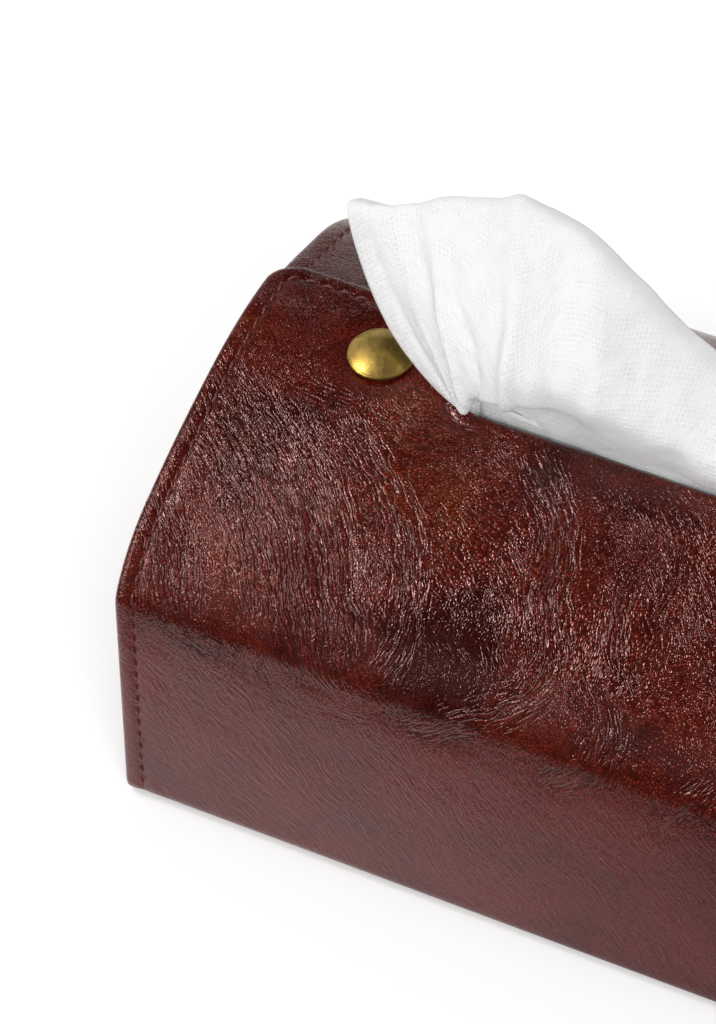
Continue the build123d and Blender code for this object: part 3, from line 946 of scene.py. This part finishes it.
def tissue_finish(settings):
    """White tissue with rows of tiny pressed dots."""
    f = Finish("tissue_paper")
    place = f.cut_place()
    dots = f.add(
        "ShaderNodeTexVoronoi", {"Vector": place, "Scale": 1 / 1.15, "Randomness": 0.12})
    fibres = f.cloud(f.drawn_out(place, 2.2), 0.5)
    soft = f.cloud(place, 5.0, detail=2.0)
    height = f.product(f.span(dots, 0.16, 0.34), f.span(soft, 0.35, 0.65, 0.05, 0.13))
    height = f.raised(f.raised(height, fibres, 0.02), soft, 0.25)
    f.set(Base_Color=rgba(settings.colours.tissue), Roughness=0.9, Sheen_Weight=0.15,
          Subsurface_Weight=0.15, Subsurface_Radius=(0.0015, 0.0015, 0.0015),
          Specular_IOR_Level=0.25, Normal=f.bump(height))
    return f.material


# ---- Leather and its sewing ----
def bend_with_flap(piece, line):
    """Bakes a piece's place into its mesh. Places a short stretch to both sides of its fold are found, but the
    piece is not bent.
    """
    place, _ = line.at(np.array([line.fold - BEND_REACH, line.fold + BEND_REACH]))
    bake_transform(piece)


def make_leather(name, flap, line, settings, dimples, seed, creases=(), patches=()):
    """One skin with its finishes, over the solids that it stands for."""
    piece = leather_skin(name, line, settings, dimples, seed, creases, patches)
    dress(piece, leather_finish(name, settings, line.fold), edge_finish(settings))
    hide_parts(flap, "outer_wrap")
    bend_with_flap(piece, line)


def cap_middles():
    """Middle of each press-stud cap, in metres."""
    low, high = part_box("snap_caps")
    radius = (high.y - low.y) / 2
    return [Vector((side * (high.x - radius), (low.y + high.y) / 2, high.z)) for side in (-1, 1)]


def stitch_guide(name, line, settings):
    """Lines of the seams on one skin, at the foot of their groove. "out" points off the leather."""
    leather = settings.leather
    corners, radii, kinds = skin_outline(line, settings)
    outline, owner = rounded_outline(corners, radii, leather.seam_inset, 0.5 * MM)
    sewn = (np.array(kinds)[owner] == SEWN) & (outline[:, 1] > HALF_DEPTH + settings.roof.bend)
    section, out = line.at(outline[:, 1])
    points = np.c_[outline[:, 0], section - out * leather.groove_depth]
    number = np.cumsum(sewn) - 1
    edges = [(int(number[i]), int(number[i + 1]))
             for i in range(len(sewn) - 1) if sewn[i] and sewn[i + 1]]
    mesh = bpy.data.meshes.new(name)
    mesh.from_pydata(points[sewn].tolist(), edges, [])
    layer = mesh.attributes.new("out", "FLOAT_VECTOR", "POINT")
    outwards = np.c_[np.zeros(len(out)), out][sewn]
    layer.data.foreach_set("vector", outwards.astype(np.float32).ravel())
    return in_scene(name, mesh)


STITCH_INPUTS = (
    # name, kind of socket
    ("Pitch", "NodeSocketFloat"), ("Stitch", "NodeSocketFloat"), ("Thread", "NodeSocketFloat"),
    ("Rise", "NodeSocketFloat"), ("Slant", "NodeSocketFloat"), ("Seed", "NodeSocketInt"),
    ("Finish", "NodeSocketMaterial"),
)
LOOSENESS = 0.05            # how much each stitch turns by chance, in radians
STITCH_STEPS, THREAD_SIDES = 6, 7
DIVE, CREST = -0.6, 2.6     # a stitch's ends in threads, and its middle handle in rises


def stitch_tree():
    """Geometry nodes that set a short arched stitch at each pitch along a line."""
    tree = bpy.data.node_groups.new("stitches", "GeometryNodeTree")
    geometry_socket = {"name": "Geometry", "socket_type": "NodeSocketGeometry"}
    tree.interface.new_socket(in_out="INPUT", **geometry_socket)
    for name, kind in STITCH_INPUTS:
        tree.interface.new_socket(name, in_out="INPUT", socket_type=kind)
    tree.interface.new_socket(in_out="OUTPUT", **geometry_socket)

    f = Nodes(tree)
    given = f.make("NodeGroupInput").outputs
    half = f.product(given["Stitch"], 0.5)
    dive = f.product(given["Thread"], DIVE)
    ends = {"Start": f.product(half, -1.0), "End": half}
    ends = {key: f.add("ShaderNodeCombineXYZ", {0: x, 2: dive}) for key, x in ends.items()}
    crest = f.add("ShaderNodeCombineXYZ", {2: f.product(given["Rise"], CREST)})
    arch = f.add("GeometryNodeCurveQuadraticBezier", {
        "Resolution": STITCH_STEPS, "Middle": crest, **ends})
    ring = f.add("GeometryNodeCurvePrimitiveCircle", {
        "Resolution": THREAD_SIDES, "Radius": f.product(given["Thread"], 0.5)})
    stitch = f.add("GeometryNodeCurveToMesh", {
        "Curve": arch, "Profile Curve": ring, "Fill Caps": True})
    curve = f.add("GeometryNodeMeshToCurve", {"Mesh": given["Geometry"]})
    places = f.make("GeometryNodeCurveToPoints", mode="LENGTH", inputs={
        "Curve": curve, "Length": given["Pitch"]}).outputs
    out = f.add("GeometryNodeInputNamedAttribute", {"Name": "out"}, data_type="FLOAT_VECTOR")
    facing = f.add("FunctionNodeAxesToRotation", {
        "Primary Axis": places["Tangent"], "Secondary Axis": out},
        primary_axis="X", secondary_axis="Z")
    loose = f.add("FunctionNodeRandomValue", {
        "Min": -LOOSENESS, "Max": LOOSENESS, "Seed": given["Seed"]}, 1, data_type="FLOAT")
    turn = f.add("ShaderNodeCombineXYZ", {2: f.total(given["Slant"], loose)})
    turned = f.add("FunctionNodeRotateRotation", {
        "Rotation": facing, "Rotate By": f.add("FunctionNodeEulerToRotation", {0: turn})},
        rotation_space="LOCAL")
    stitches = f.add("GeometryNodeInstanceOnPoints", {
        "Points": places["Points"], "Instance": stitch, "Rotation": turned})
    solid = f.add("GeometryNodeRealizeInstances", {"Geometry": stitches})
    smooth = f.add("GeometryNodeSetShadeSmooth", {"Geometry": solid})
    dressed = f.add("GeometryNodeSetMaterial", {"Geometry": smooth, "Material": given["Finish"]})
    f.make("NodeGroupOutput", {0: dressed})
    return tree


def sewn_thread(name, line, settings, tree, finish):
    """Plain mesh of the stitches along one skin's seams."""
    sizes = settings.stitches
    values = {"Pitch": sizes.pitch, "Stitch": sizes.reach, "Thread": sizes.thread,
              "Rise": sizes.rise, "Slant": sizes.slant, "Seed": sizes.seed, "Finish": finish}
    guide = stitch_guide(name + "_line", line, settings)
    modifier = guide.modifiers.new("stitches", "NODES")
    modifier.node_group = tree
    for item in tree.interface.items_tree:
        if item.in_out == "INPUT" and item.name in values:
            modifier[item.identifier] = values[item.name]
    bpy.context.view_layer.update()
    evaluated = guide.evaluated_get(bpy.context.evaluated_depsgraph_get())
    mesh = bpy.data.meshes.new_from_object(evaluated)
    mesh.name = name
    bpy.data.objects.remove(guide)
    piece = in_scene(name, mesh)
    dress(piece, finish)
    return piece


# ---- Tissue ----
# Shape of the drawn leaf above the lips, in millimetres. Each entry is a share of the leaf's width,
# and the places of the leaf's rows there, from the lip up to the free edge, which curls back.
# The second and third rows are the inner and outer turn of the tuck over the slot's left end.
LEAF = (
    (0.00, ((-67, -5, 93.6), (-68, -5.8, 94.6), (-68.8, -6.4, 95.4), (-76, -3.8, 96.4),
            (-89, 2.4, 101.8), (-99, 8.2, 112.5), (-104.5, 12, 126.8), (-104, 17, 124.5))),
    (0.05, ((-66.7, -4.6, 94), (-67.6, -5.4, 96.4), (-68.4, -7.2, 96.2), (-73, -5.2, 101),
            (-82.5, 1, 109), (-90.5, 7.5, 118), (-96, 14.2, 127.6), (-95, 19, 124))),
    (0.11, ((-65.3, -3.6, 96), (-65.6, -3.2, 103.6), (-66.3, -8, 101.3), (-69.5, -7.2, 106),
            (-75.5, -2.5, 114.5), (-80.5, 6, 123.5), (-84.5, 16.8, 131.4), (-83.5, 22, 128))),
    (0.15, ((-62.3, -3, 97), (-62.2, -2.4, 107.2), (-62.5, -8.8, 103.6), (-65, -8.8, 109),
            (-70, -4, 117.5), (-74.5, 5, 126), (-77.5, 17.6, 133.9), (-76.5, 23, 130))),
    (0.20, ((-57.5, -3, 97.5), (-56.8, -2.4, 109.6), (-56.5, -9.2, 106.3), (-58.5, -10, 112),
            (-62.5, -5.5, 121), (-66, 4.5, 130), (-68.5, 17.2, 137), (-67.5, 22.5, 133))),
    (0.28, ((-50, -4, 97.5), (-48.8, -4.2, 109.2), (-48.5, -9.2, 108), (-49.5, -10.5, 114),
            (-51.5, -6.5, 123), (-53.3, 3, 132), (-54.5, 14, 139.4), (-54, 19.5, 136))),
    (0.36, ((-42, -4.6, 96.8), (-40, -6.6, 103.2), (-39.3, -8.6, 107.8), (-39.6, -10, 113.5),
            (-40, -6.5, 121.5), (-40.5, 1.5, 129), (-41, 10, 135.1), (-40.5, 15.5, 132))),
    (0.46, ((-27, -4.9, 95), (-26.5, -6.2, 99), (-26, -7.8, 104), (-25.5, -8.6, 109),
            (-25.2, -6, 114.5), (-25, 0.5, 119.5), (-25, 8, 123.3), (-24.5, 13.5, 121))),
    (0.56, ((-11.5, -4.8, 95), (-11, -6.2, 98), (-10.5, -7.4, 101.5), (-10, -7.6, 105),
            (-9, -4.8, 108.8), (-8.5, 1, 112), (-8, 8, 113.8), (-7.5, 13, 111.5))),
    (0.66, ((5, -4.7, 95), (5.5, -6, 97.5), (6.5, -7, 100), (7.5, -6.8, 102.8),
            (8.5, -4, 105.5), (9.5, 1.5, 108), (10, 8, 109), (10.5, 12.5, 106.5))),
    (0.76, ((21, -4.6, 95), (21.5, -6, 97.5), (23, -7.4, 100.2), (25, -7.6, 103.2),
            (27, -5.2, 106.5), (28.5, 0, 109.5), (29.5, 6.5, 111.2), (30, 11.5, 109.5))),
    (0.84, ((36.5, -4.6, 95), (37.5, -6, 97.6), (39.5, -7.8, 100.6), (42, -8.8, 104),
            (44.5, -7.5, 108), (46, -3.5, 112), (47, 3, 114.6), (47.5, 8, 113.2))),
    (0.92, ((53, -4.4, 95.2), (55, -5.6, 98), (58, -7.2, 101), (61.5, -9, 104.2),
            (64.5, -9.5, 108.2), (66.5, -7.5, 112.6), (67.5, -2.5, 116.2), (68, 2.5, 115.5))),
    (1.00, ((64.5, -3.5, 95.4), (67.5, -4.4, 97.6), (71.5, -5.6, 99.6), (76.5, -8, 101.8),
            (81.5, -10, 105), (85.5, -10.5, 109), (88, -8, 113), (89, -4, 113.5))),
)

# Folds that fan out of the pinch: height and half width in millimetres, then places along the fold
# as (share of the leaf's width, millimetres above the lip).
LEAF_FOLDS = (
    (0.7, 1.8, ((0.030, 6), (0.035, 14), (0.030, 26), (0.020, 36))),
    (-0.5, 1.6, ((0.050, 8), (0.062, 16), (0.060, 26))),
    (1.0, 2.2, ((0.070, 10), (0.090, 18), (0.095, 27), (0.080, 36))),
    (-1.3, 2.4, ((0.095, 10), (0.112, 18), (0.115, 27), (0.105, 36))),
    (1.2, 2.6, ((0.125, 9), (0.155, 14), (0.160, 20), (0.135, 28))),
    (0.7, 1.8, ((0.178, 9), (0.192, 15), (0.215, 22))),
    (-2.2, 4.8, ((0.195, 10), (0.215, 15), (0.240, 24), (0.225, 36), (0.205, 44))),
    (0.9, 5.5, ((0.300, 12), (0.300, 22), (0.290, 34))),
    (-0.8, 5.0, ((0.372, 12), (0.375, 22), (0.360, 32))),
    (0.8, 6.0, ((0.500, 4), (0.520, 14), (0.530, 26))),
    (-1.2, 6.5, ((0.640, 2), (0.650, 10), (0.660, 22))),
    (1.2, 6.0, ((0.730, 2), (0.740, 10), (0.745, 22))),
    (-1.1, 4.5, ((0.800, 2), (0.812, 12), (0.815, 26))),
    (1.1, 4.0, ((0.860, 2), (0.880, 12), (0.890, 26))),
    (-1.0, 3.2, ((0.915, 4), (0.932, 14), (0.945, 28))),
)
# Rows of the leaf below the lip: share of the way up from its foot, and shares of the lip's
# width and of the waves' height there
NECK = ((0.0, 0.955, 1.0), (0.35, 0.965, 1.0), (0.72, 0.98, 0.8), (0.92, 0.995, 0.35))
LEAF_WIDTH = 200 * MM
# Top edge of the next leaf, as (x, height) in millimetres
NEXT_LEAF = ((-65.5, 98.2), (-60, 97.6), (-52, 96.4), (-44, 95.0), (-36, 93.4), (62, 92.0))
# Edge of each leaf in the stack: share of the way up it, and how far it is drawn in, in millimetres
LEAF_EDGE = ((0.0, 0.9), (0.18, 0.3), (0.5, 0.0), (0.82, 0.3))
STACK_CORNER = 5 * MM
TOP_RINGS = 12              # rings of points on the stack's top
DENT, DENT_SIZE = 0.5 * MM, 30 * MM


def curve_through(knots, values, at):
    """Smooth curve through values at rising knots."""
    slopes = np.gradient(values, knots, axis=0)
    i = np.clip(np.searchsorted(knots, at, side="right") - 1, 0, len(knots) - 2)
    shape = (-1,) + (1,) * (values.ndim - 1)
    gap = (knots[i + 1] - knots[i]).reshape(shape)
    t = (at - knots[i]).reshape(shape) / gap
    return ((2 * t ** 3 - 3 * t ** 2 + 1) * values[i]
            + (t ** 3 - 2 * t ** 2 + t) * gap * slopes[i]
            + (3 * t ** 2 - 2 * t ** 3) * values[i + 1]
            + (t ** 3 - t ** 2) * gap * slopes[i + 1])


def grid_normals(grid):
    """Unit normals of a grid of points."""
    normal = np.cross(np.gradient(grid, axis=1), np.gradient(grid, axis=0))
    return normal / np.linalg.norm(normal, axis=2, keepdims=True)


def run_along(grid, axis):
    """Distance run along one axis of a grid of points."""
    steps = np.linalg.norm(np.diff(grid, axis=axis), axis=2)
    return np.insert(np.cumsum(steps, axis=axis), 0, 0.0, axis=axis)


def thin_sheet(name, grid, thickness):
    """A closed thin sheet round a grid of points, whose rows and columns are its flat cut."""
    rows, columns, _ = grid.shape
    out = grid_normals(grid) * thickness / 2
    points = np.vstack([(grid + out).reshape(-1, 3), (grid - out).reshape(-1, 3)])
    total = rows * columns
    index = np.arange(total).reshape(rows, columns)
    corners = (index[:-1, :-1], index[:-1, 1:], index[1:, 1:], index[1:, :-1])
    front = np.stack(corners, axis=-1).reshape(-1, 4)
    rim = [*index[0, :], *index[1:, -1], *index[-1, -2::-1], *index[-2:0:-1, 0]]
    faces = [*front, *(front[:, ::-1] + total)]
    faces += [(i, i + total, j + total, j) for i, j in zip(rim, rim[1:] + rim[:1])]
    piece = mesh_piece(name, points, faces)
    mesh = bmesh.new()
    mesh.from_mesh(piece.data)
    bmesh.ops.recalc_face_normals(mesh, faces=mesh.faces)
    mesh.to_mesh(piece.data)
    mesh.free()
    up = run_along(grid, 0)
    across = np.linspace(0, 1, columns) * run_along(grid, 1)[:, -1].max()
    flat = np.stack([np.broadcast_to(across, up.shape), up], axis=-1).reshape(-1, 2)
    lay_flat(piece, np.vstack([flat, flat]))
    return piece


def leaf_net(tissue):
    """Rows of points up the drawn leaf, each across its whole width."""
    columns = np.linspace(0, 1, tissue.columns)
    shares, ways = zip(*LEAF)
    upper = curve_through(np.array(shares), np.array(ways), columns) * MM
    lip = upper[:, 0]
    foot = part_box("tissue_sheet")[0].z
    phase = 2 * math.pi * tissue.neck_waves * columns
    neck = []
    for height, spread, wave in NECK:
        y = tissue.neck_wave * wave * np.sin(phase) * (1 - height ** 4) + lip[:, 1] * height
        z = foot + (lip[:, 2] - foot) * height
        neck.append(np.c_[lip[:, 0] * spread, y, z])
    return np.concatenate([np.stack(neck, axis=1), upper], axis=1)


def leaf_lift(tissue, runs):
    """How far the drawn leaf's folds and crumples stand out, at distances above the lip."""
    columns = np.linspace(0, 1, tissue.columns)
    lift = np.zeros((len(runs), len(columns)))
    for height, half_width, way in LEAF_FOLDS:
        way = np.array(way)
        middle = np.interp(runs, way[:, 1] * MM, way[:, 0])
        start, end = way[0, 1], way[-1, 1]
        fade = (smooth_step(runs, (start - 7) * MM, (start + 1) * MM)
                * (1 - smooth_step(runs, (end - 4) * MM, (end + 12) * MM)))
        off = (columns[None, :] - middle[:, None]) * LEAF_WIDTH / (half_width * MM)
        lift += height * MM * fade[:, None] / (1 + off ** 2) ** 1.5
    flat = np.stack(np.meshgrid(columns * LEAF_WIDTH, runs), axis=-1).reshape(-1, 2)
    size = tissue.crumple_size
    crumple = ripple(flat, size, 21.0) + 0.5 * ripple(flat, size / 2.1, 4.0)
    open_part = smooth_step(runs, 0.0, 14 * MM)[:, None]
    return lift + tissue.crumple * crumple.reshape(lift.shape) * open_part


def leaf_grid(tissue):
    """Points of the drawn leaf, row by row from its foot to its free edge."""
    net = leaf_net(tissue)
    spacing = np.linalg.norm(np.diff(net, axis=1), axis=2).mean(axis=0)
    knots = np.r_[0, np.cumsum(spacing)]
    climb = knots - knots[len(NECK)]
    runs = [np.linspace(start, end, 1 + max(2, int(gap / tissue.row_step)))[:-1]
            for start, end, gap in zip(climb, climb[1:], spacing)]
    runs = np.r_[np.concatenate(runs), climb[-1]]
    grid = curve_through(climb, net.transpose(1, 0, 2), runs)
    return grid - grid_normals(grid) * leaf_lift(tissue, runs)[:, :, None]


def next_leaf_grid():
    """Points of the next leaf, which just shows behind the front lip at the slot's left end."""
    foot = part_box("tissue_sheet")[0].z
    edge = np.array(NEXT_LEAF) * MM
    x = np.linspace(edge[0, 0], edge[-1, 0], 120)
    top = np.interp(x, edge[:, 0], edge[:, 1])
    share_up = np.linspace(0, 1, 40)[:, None]
    z = foot + (top[None, :] - foot) * share_up
    wave = 0.5 * MM * np.sin(x / (9 * MM))[None, :] * (1 - share_up)
    y = -4.3 * MM + wave + 0.6 * MM * share_up ** 3
    return np.stack([np.broadcast_to(x, z.shape), y, z], axis=-1)


def stack_rings(tissue, low, high):
    """Height, inset and shift of each ring up the stack's side. No two leaves lie quite alike."""
    rng = np.random.default_rng(tissue.seed)
    levels = np.linspace(low.z, high.z, tissue.leaves + 1)
    rings = []
    for bottom, top in zip(levels, levels[1:]):
        shift = rng.uniform(-0.5, 0.5, 2) * MM
        tuck = rng.uniform(0.1, 0.7) * MM
        rings += [(bottom + (top - bottom) * share_up, tuck + inset * MM, shift)
                  for share_up, inset in LEAF_EDGE]
    return [*rings, (high.z, 1.0 * MM, np.zeros(2))]


def stack_piece(name, tissue):
    """The folded tissues: the side, leaf by leaf, and the soft top."""
    low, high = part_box("tissue_stack")
    half = (high - low) / 2
    outline, _ = rounded_outline(
        [(-half.x, -half.y), (half.x, -half.y), (half.x, half.y), (-half.x, half.y)],
        [STACK_CORNER] * 4, 0.0, 4 * MM)
    points = []
    for z, inset, shift in stack_rings(tissue, low, high):
        scale = 1 - inset / half.y
        points += [(x * scale + shift[0], y * scale + shift[1], z) for x, y in outline]
    rim = np.array(points[-len(outline):])
    for k in range(1, TOP_RINGS + 1):
        ring = rim[:, :2] * (1 - k / (TOP_RINGS + 1))
        dents = DENT * ripple(ring, DENT_SIZE, 2.0) - 0.1 * MM
        points += [(x, y, min(z, z + dent)) for (x, y), z, dent in zip(ring, rim[:, 2], dents)]
    index = np.arange(len(points)).reshape(-1, len(outline))
    following = np.roll(index, -1, axis=1)
    sides = np.stack([index[:-1], following[:-1], following[1:], index[1:]], axis=-1)
    piece = mesh_piece(name, points, [*sides.reshape(-1, 4), index[0, ::-1], index[-1]])
    lay_flat(piece, np.array(points)[:, :2])
    return piece


# ---- Stage ----
LAMPS = (
    # name, place in metres, width and height in metres, power in watts, lights gloss, lights matt
    ("key", (-0.78, -0.20, 1.08), (0.42, 0.42), 5.0, True, True),
    ("low_key", (-0.90, -0.75, 0.60), (0.36, 0.36), 2.6, True, True),
    ("glint", (-0.84, -0.30, 1.00), (0.30, 0.30), 5.0, True, False),
    ("low_glint", (-0.80, -0.95, 0.60), (0.32, 0.32), 4.0, True, False),
    ("front_fill", (0.80, -1.10, 1.10), (0.9, 0.7), 12.5, False, True),
    ("back", (0.2, 1.20, 1.10), (1.2, 0.5), 5.0, False, True),
)
LAMP_AIM = Vector((0, 0, 0.05))
FLOOR_GLOW = 0.22           # added to the floor where the camera or a glossy surface sees it
# Painted reflection: how bright glossy surfaces see the floor, by axis, then the places between which it changes
# and the brightness at each
FLOOR_SHADES = (
    (1, -0.122, -0.068, 0.10, 1.25),    # out from the front wall
    (1, -0.45, -0.15, 0.05, 1.0),       # far in front
    (0, -0.14, 0.05, 1.0, 0.40),        # to the right
)
# Walls that glossy surfaces mirror: the setting with its brightness, then the same for each axis
# of the direction that is looked in
ROOM_WALLS = (
    ("back_wall", (1, -0.10, 0.75, 0.0, 1.0), (2, 0.10, 0.45, 1.0, 0.0)),
    ("left_wall", (0, -0.28, -0.70, 0.0, 1.0), (2, 0.10, 0.40, 0.0, 1.0)),
    ("front_wall", (1, -0.35, -0.85, 0.0, 1.0), (2, 0.12, 0.40, 0.0, 1.0),
     (0, 0.30, -0.30, 0.3, 1.0)),
)
CAMERA_RAY, GLOSSY_RAY = "Is Camera Ray", "Is Glossy Ray"


def shade(f, first, vector, shades):
    """`first` times each shade along one axis of a vector."""
    return f.product(first, *(f.span(f.part(vector, axis), *ends) for axis, *ends in shades))


def floor_finish(settings):
    """Pale floor. Painted reflection: glossy surfaces see it bright close to the front wall, less to the right,
    and fading to black further out.
    """
    f = Finish("studio_floor")
    f.set(Base_Color=rgba(settings.colours.floor), Roughness=1.0, Specular_IOR_Level=0.0)
    seen, mirrored = (f.add("ShaderNodeLightPath", output=ray) for ray in (CAMERA_RAY, GLOSSY_RAY))
    glow = f.add("ShaderNodeEmission", {"Color": WHITE, "Strength": FLOOR_GLOW})
    dark = f.add("ShaderNodeEmission", {"Strength": 0.0})
    added = f.add(
        "ShaderNodeMixShader", {0: f.maths("MAXIMUM", seen, mirrored), 1: dark, 2: glow})
    lit = f.add("ShaderNodeAddShader", {0: f.shader.outputs[0], 1: added})
    place = f.add("ShaderNodeTexCoord", output="Object")
    # Painted reflection: glossy rays see the lit floor only where this share is high, and black elsewhere
    painted_reflection = shade(f, 1.0, place, FLOOR_SHADES)
    painted_reflection_dark = f.product(mirrored, f.maths("SUBTRACT", 1.0, painted_reflection))
    floor = f.add("ShaderNodeMixShader", {0: painted_reflection_dark, 1: lit, 2: dark})
    f.fill(f.nodes["Material Output"], {0: floor})
    return f.material


def room_light(stage):
    """Even light on matt surfaces. Glossy ones mirror three walls: the one behind the case is
    bright low down, and those at the left and in front are bright high up. The camera sees white.
    """
    world = bpy.data.worlds.new("studio")
    bpy.context.scene.world = world
    world.use_nodes = True
    f = Nodes(world.node_tree)
    f.nodes.clear()
    way = f.add("ShaderNodeTexCoord", output="Generated")
    walls = (shade(f, getattr(stage, wall), way, shades) for wall, *shades in ROOM_WALLS)
    mirrored = f.total(stage.overhead, *walls)
    matt, gloss, plain = (
        f.add("ShaderNodeBackground", {"Color": WHITE, "Strength": strength})
        for strength in (stage.room, mirrored, 1.0))
    room = matt
    for ray, light in ((GLOSSY_RAY, gloss), (CAMERA_RAY, plain)):
        chosen = f.add("ShaderNodeLightPath", output=ray)
        room = f.add("ShaderNodeMixShader", {0: chosen, 1: room, 2: light})
    f.make("ShaderNodeOutputWorld", {0: room})


def set_lamps():
    for name, place, (width, height), power, gloss, matt in LAMPS:
        lamp = bpy.data.lights.new(name, "AREA")
        lamp.shape, lamp.size, lamp.size_y, lamp.energy = "RECTANGLE", width, height, power
        holder = in_scene(name, lamp)
        holder.location = place
        aim = LAMP_AIM - Vector(place)
        holder.rotation_euler = aim.to_track_quat("-Z", "Y").to_euler()
        holder.visible_glossy, holder.visible_diffuse = gloss, matt


def set_camera(stage):
    """Camera at the place and angle from which the photograph was taken."""
    camera = bpy.data.cameras.new("photo_camera")
    camera.sensor_width = SENSOR_WIDTH
    camera.lens = stage.focal_pixels / PHOTO_LONG_SIDE * SENSOR_WIDTH
    holder = in_scene("photo_camera", camera)
    back = Vector((math.sin(stage.azimuth) * math.cos(stage.elevation),
                   -math.cos(stage.azimuth) * math.cos(stage.elevation),
                   math.sin(stage.elevation)))
    right = Vector((math.cos(stage.azimuth), math.sin(stage.azimuth), 0.0))
    up = back.cross(right)
    turned_right = math.cos(stage.roll) * right + math.sin(stage.roll) * up
    turned_up = math.cos(stage.roll) * up - math.sin(stage.roll) * right
    pose = Matrix((turned_right, turned_up, back)).transposed().to_4x4()
    pose.translation = (stage.camera_x, stage.camera_y, stage.camera_z)
    holder.matrix_world = pose
    bpy.context.scene.camera = holder


# ---- Operators, one for each group of pieces ----
def settings_of(context):
    return context.scene.tissue_case


class MakeFrontLeather(bpy.types.Operator):
    """Make the front half of the leather: base, front wall and front flap in one sheet"""

    bl_idname = "tissue_case.front_leather"
    bl_label = "Front leather"

    def execute(self, context):
        settings = settings_of(context)
        line = front_line(settings)
        dimples = [(c.x, line.run_at_y(c.y, line.fold)) for c in cap_middles()]
        make_leather("front_leather", "front_flap", line, settings, dimples, FRONT_SEED,
                     CREASES, PATCHES)
        return {"FINISHED"}


class MakeRearLeather(bpy.types.Operator):
    """Make the rear half of the leather: base, rear wall and rear flap in one sheet"""

    bl_idname = "tissue_case.rear_leather"
    bl_label = "Rear leather"

    def execute(self, context):
        settings = settings_of(context)
        make_leather("rear_leather", "rear_flap", rear_line(settings), settings, [], REAR_SEED)
        return {"FINISHED"}


class MakeStitches(bpy.types.Operator):
    """Sew the seams round the walls, the flaps and the slot's ends"""

    bl_idname = "tissue_case.sewing"
    bl_label = "Stitches"

    def execute(self, context):
        settings = settings_of(context)
        tree, finish = stitch_tree(), thread_finish(settings)
        for name, flap, line in (
                ("front_thread", "front_flap", front_line(settings)),
                ("rear_thread", "rear_flap", rear_line(settings))):
            piece = sewn_thread(name, line, settings, tree, finish)
            bend_with_flap(piece, line)
        return {"FINISHED"}


class MakeTissue(bpy.types.Operator):
    """Make the leaf that stands out of the slot, and the next leaf behind the front lip"""

    bl_idname = "tissue_case.tissue"
    bl_label = "Tissue"

    def execute(self, context):
        settings = settings_of(context)
        tissue = settings.tissue
        finish = tissue_finish(settings)
        leaf = thin_sheet("drawn_leaf", leaf_grid(tissue), tissue.thickness)
        following = thin_sheet("next_leaf", next_leaf_grid(), tissue.thickness)
        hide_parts("tissue_sheet")
        for piece in (leaf, following):
            dress(piece, finish)
            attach(piece, "drawn_sheet")
        return {"FINISHED"}


class MakeStack(bpy.types.Operator):
    """Make the folded tissues that fill the tray"""

    bl_idname = "tissue_case.stack"
    bl_label = "Tissue stack"

    def execute(self, context):
        settings = settings_of(context)
        piece = stack_piece("folded_tissues", settings.tissue)
        dress(piece, tissue_finish(settings))
        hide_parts("tissue_stack")
        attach(piece, "case")
        return {"FINISHED"}


class FinishSolids(bpy.types.Operator):
    """Give each solid that stays in view its finish"""

    bl_idname = "tissue_case.finish_solids"
    bl_label = "Finish solids"

    def execute(self, context):
        settings = settings_of(context)
        finishes = {
            "oxblood_leather": leather_finish("end_leather", settings),
            "lining_cloth": cloth_finish("lining_cloth", settings.colours.lining),
            "stiffener_board": cloth_finish("stiffener_board", settings.colours.board),
            "antique_brass": brass_finish(settings),
            "spring_steel": steel_finish(settings),
        }
        slots = {s["node"]: s["material_slot"] for s in frame["record"]["subparts"]}
        for name, node in frame["nodes"].items():
            if slots[name] in finishes:
                dress(node, finishes[slots[name]])
        return {"FINISHED"}


class MakeStage(bpy.types.Operator):
    """Make the floor, the lamps and the camera"""

    bl_idname = "tissue_case.stage"
    bl_label = "Stage"

    def execute(self, context):
        settings = settings_of(context)
        half = settings.stage.floor_size / 2
        corners = [(x * half, y * half, 0) for x, y in ((-1, -1), (1, -1), (1, 1), (-1, 1))]
        floor = mesh_piece("floor", corners, [range(4)], smooth=False)
        dress(floor, floor_finish(settings))
        room_light(settings.stage)
        set_lamps()
        set_camera(settings.stage)
        context.scene.view_settings.view_transform = "Standard"
        return {"FINISHED"}


class CasePanel(bpy.types.Panel):
    """Panel with every step of the case"""

    bl_idname = "VIEW3D_PT_tissue_case"
    bl_label = "Tissue case"
    bl_space_type = "VIEW_3D"
    bl_region_type = "UI"
    bl_category = "Tissue case"

    def draw(self, context):
        for step in STEPS:
            self.layout.operator(step.bl_idname)
        settings = settings_of(context)
        for name in ("roof", "leather", "stitches", "tissue", "colours", "stage"):
            group = getattr(settings, name)
            box = self.layout.box()
            box.label(text=name.capitalize())
            for key in group.bl_rna.properties.keys():
                if key not in ("rna_type", "name"):
                    box.prop(group, key)


STEPS = (MakeFrontLeather, MakeRearLeather, MakeStitches, MakeTissue, MakeStack, FinishSolids,
         MakeStage)
CLASSES = (RoofSizes, LeatherSizes, StitchSizes, TissueSizes, CaseColours, StageSizes, CaseSettings,
           *STEPS, CasePanel)


def register():
    for cls in CLASSES:
        bpy.utils.register_class(cls)
    bpy.types.Scene.tissue_case = bpy.props.PointerProperty(
        name="Tissue case", description="Settings of the tissue case", type=CaseSettings)


def unregister():
    del bpy.types.Scene.tissue_case
    for cls in reversed(CLASSES):
        bpy.utils.unregister_class(cls)


def main():
    register()
    for step in STEPS:
        group, name = step.bl_idname.split(".")
        getattr(getattr(bpy.ops, group), name)()


if __name__ == "__main__":
    main()
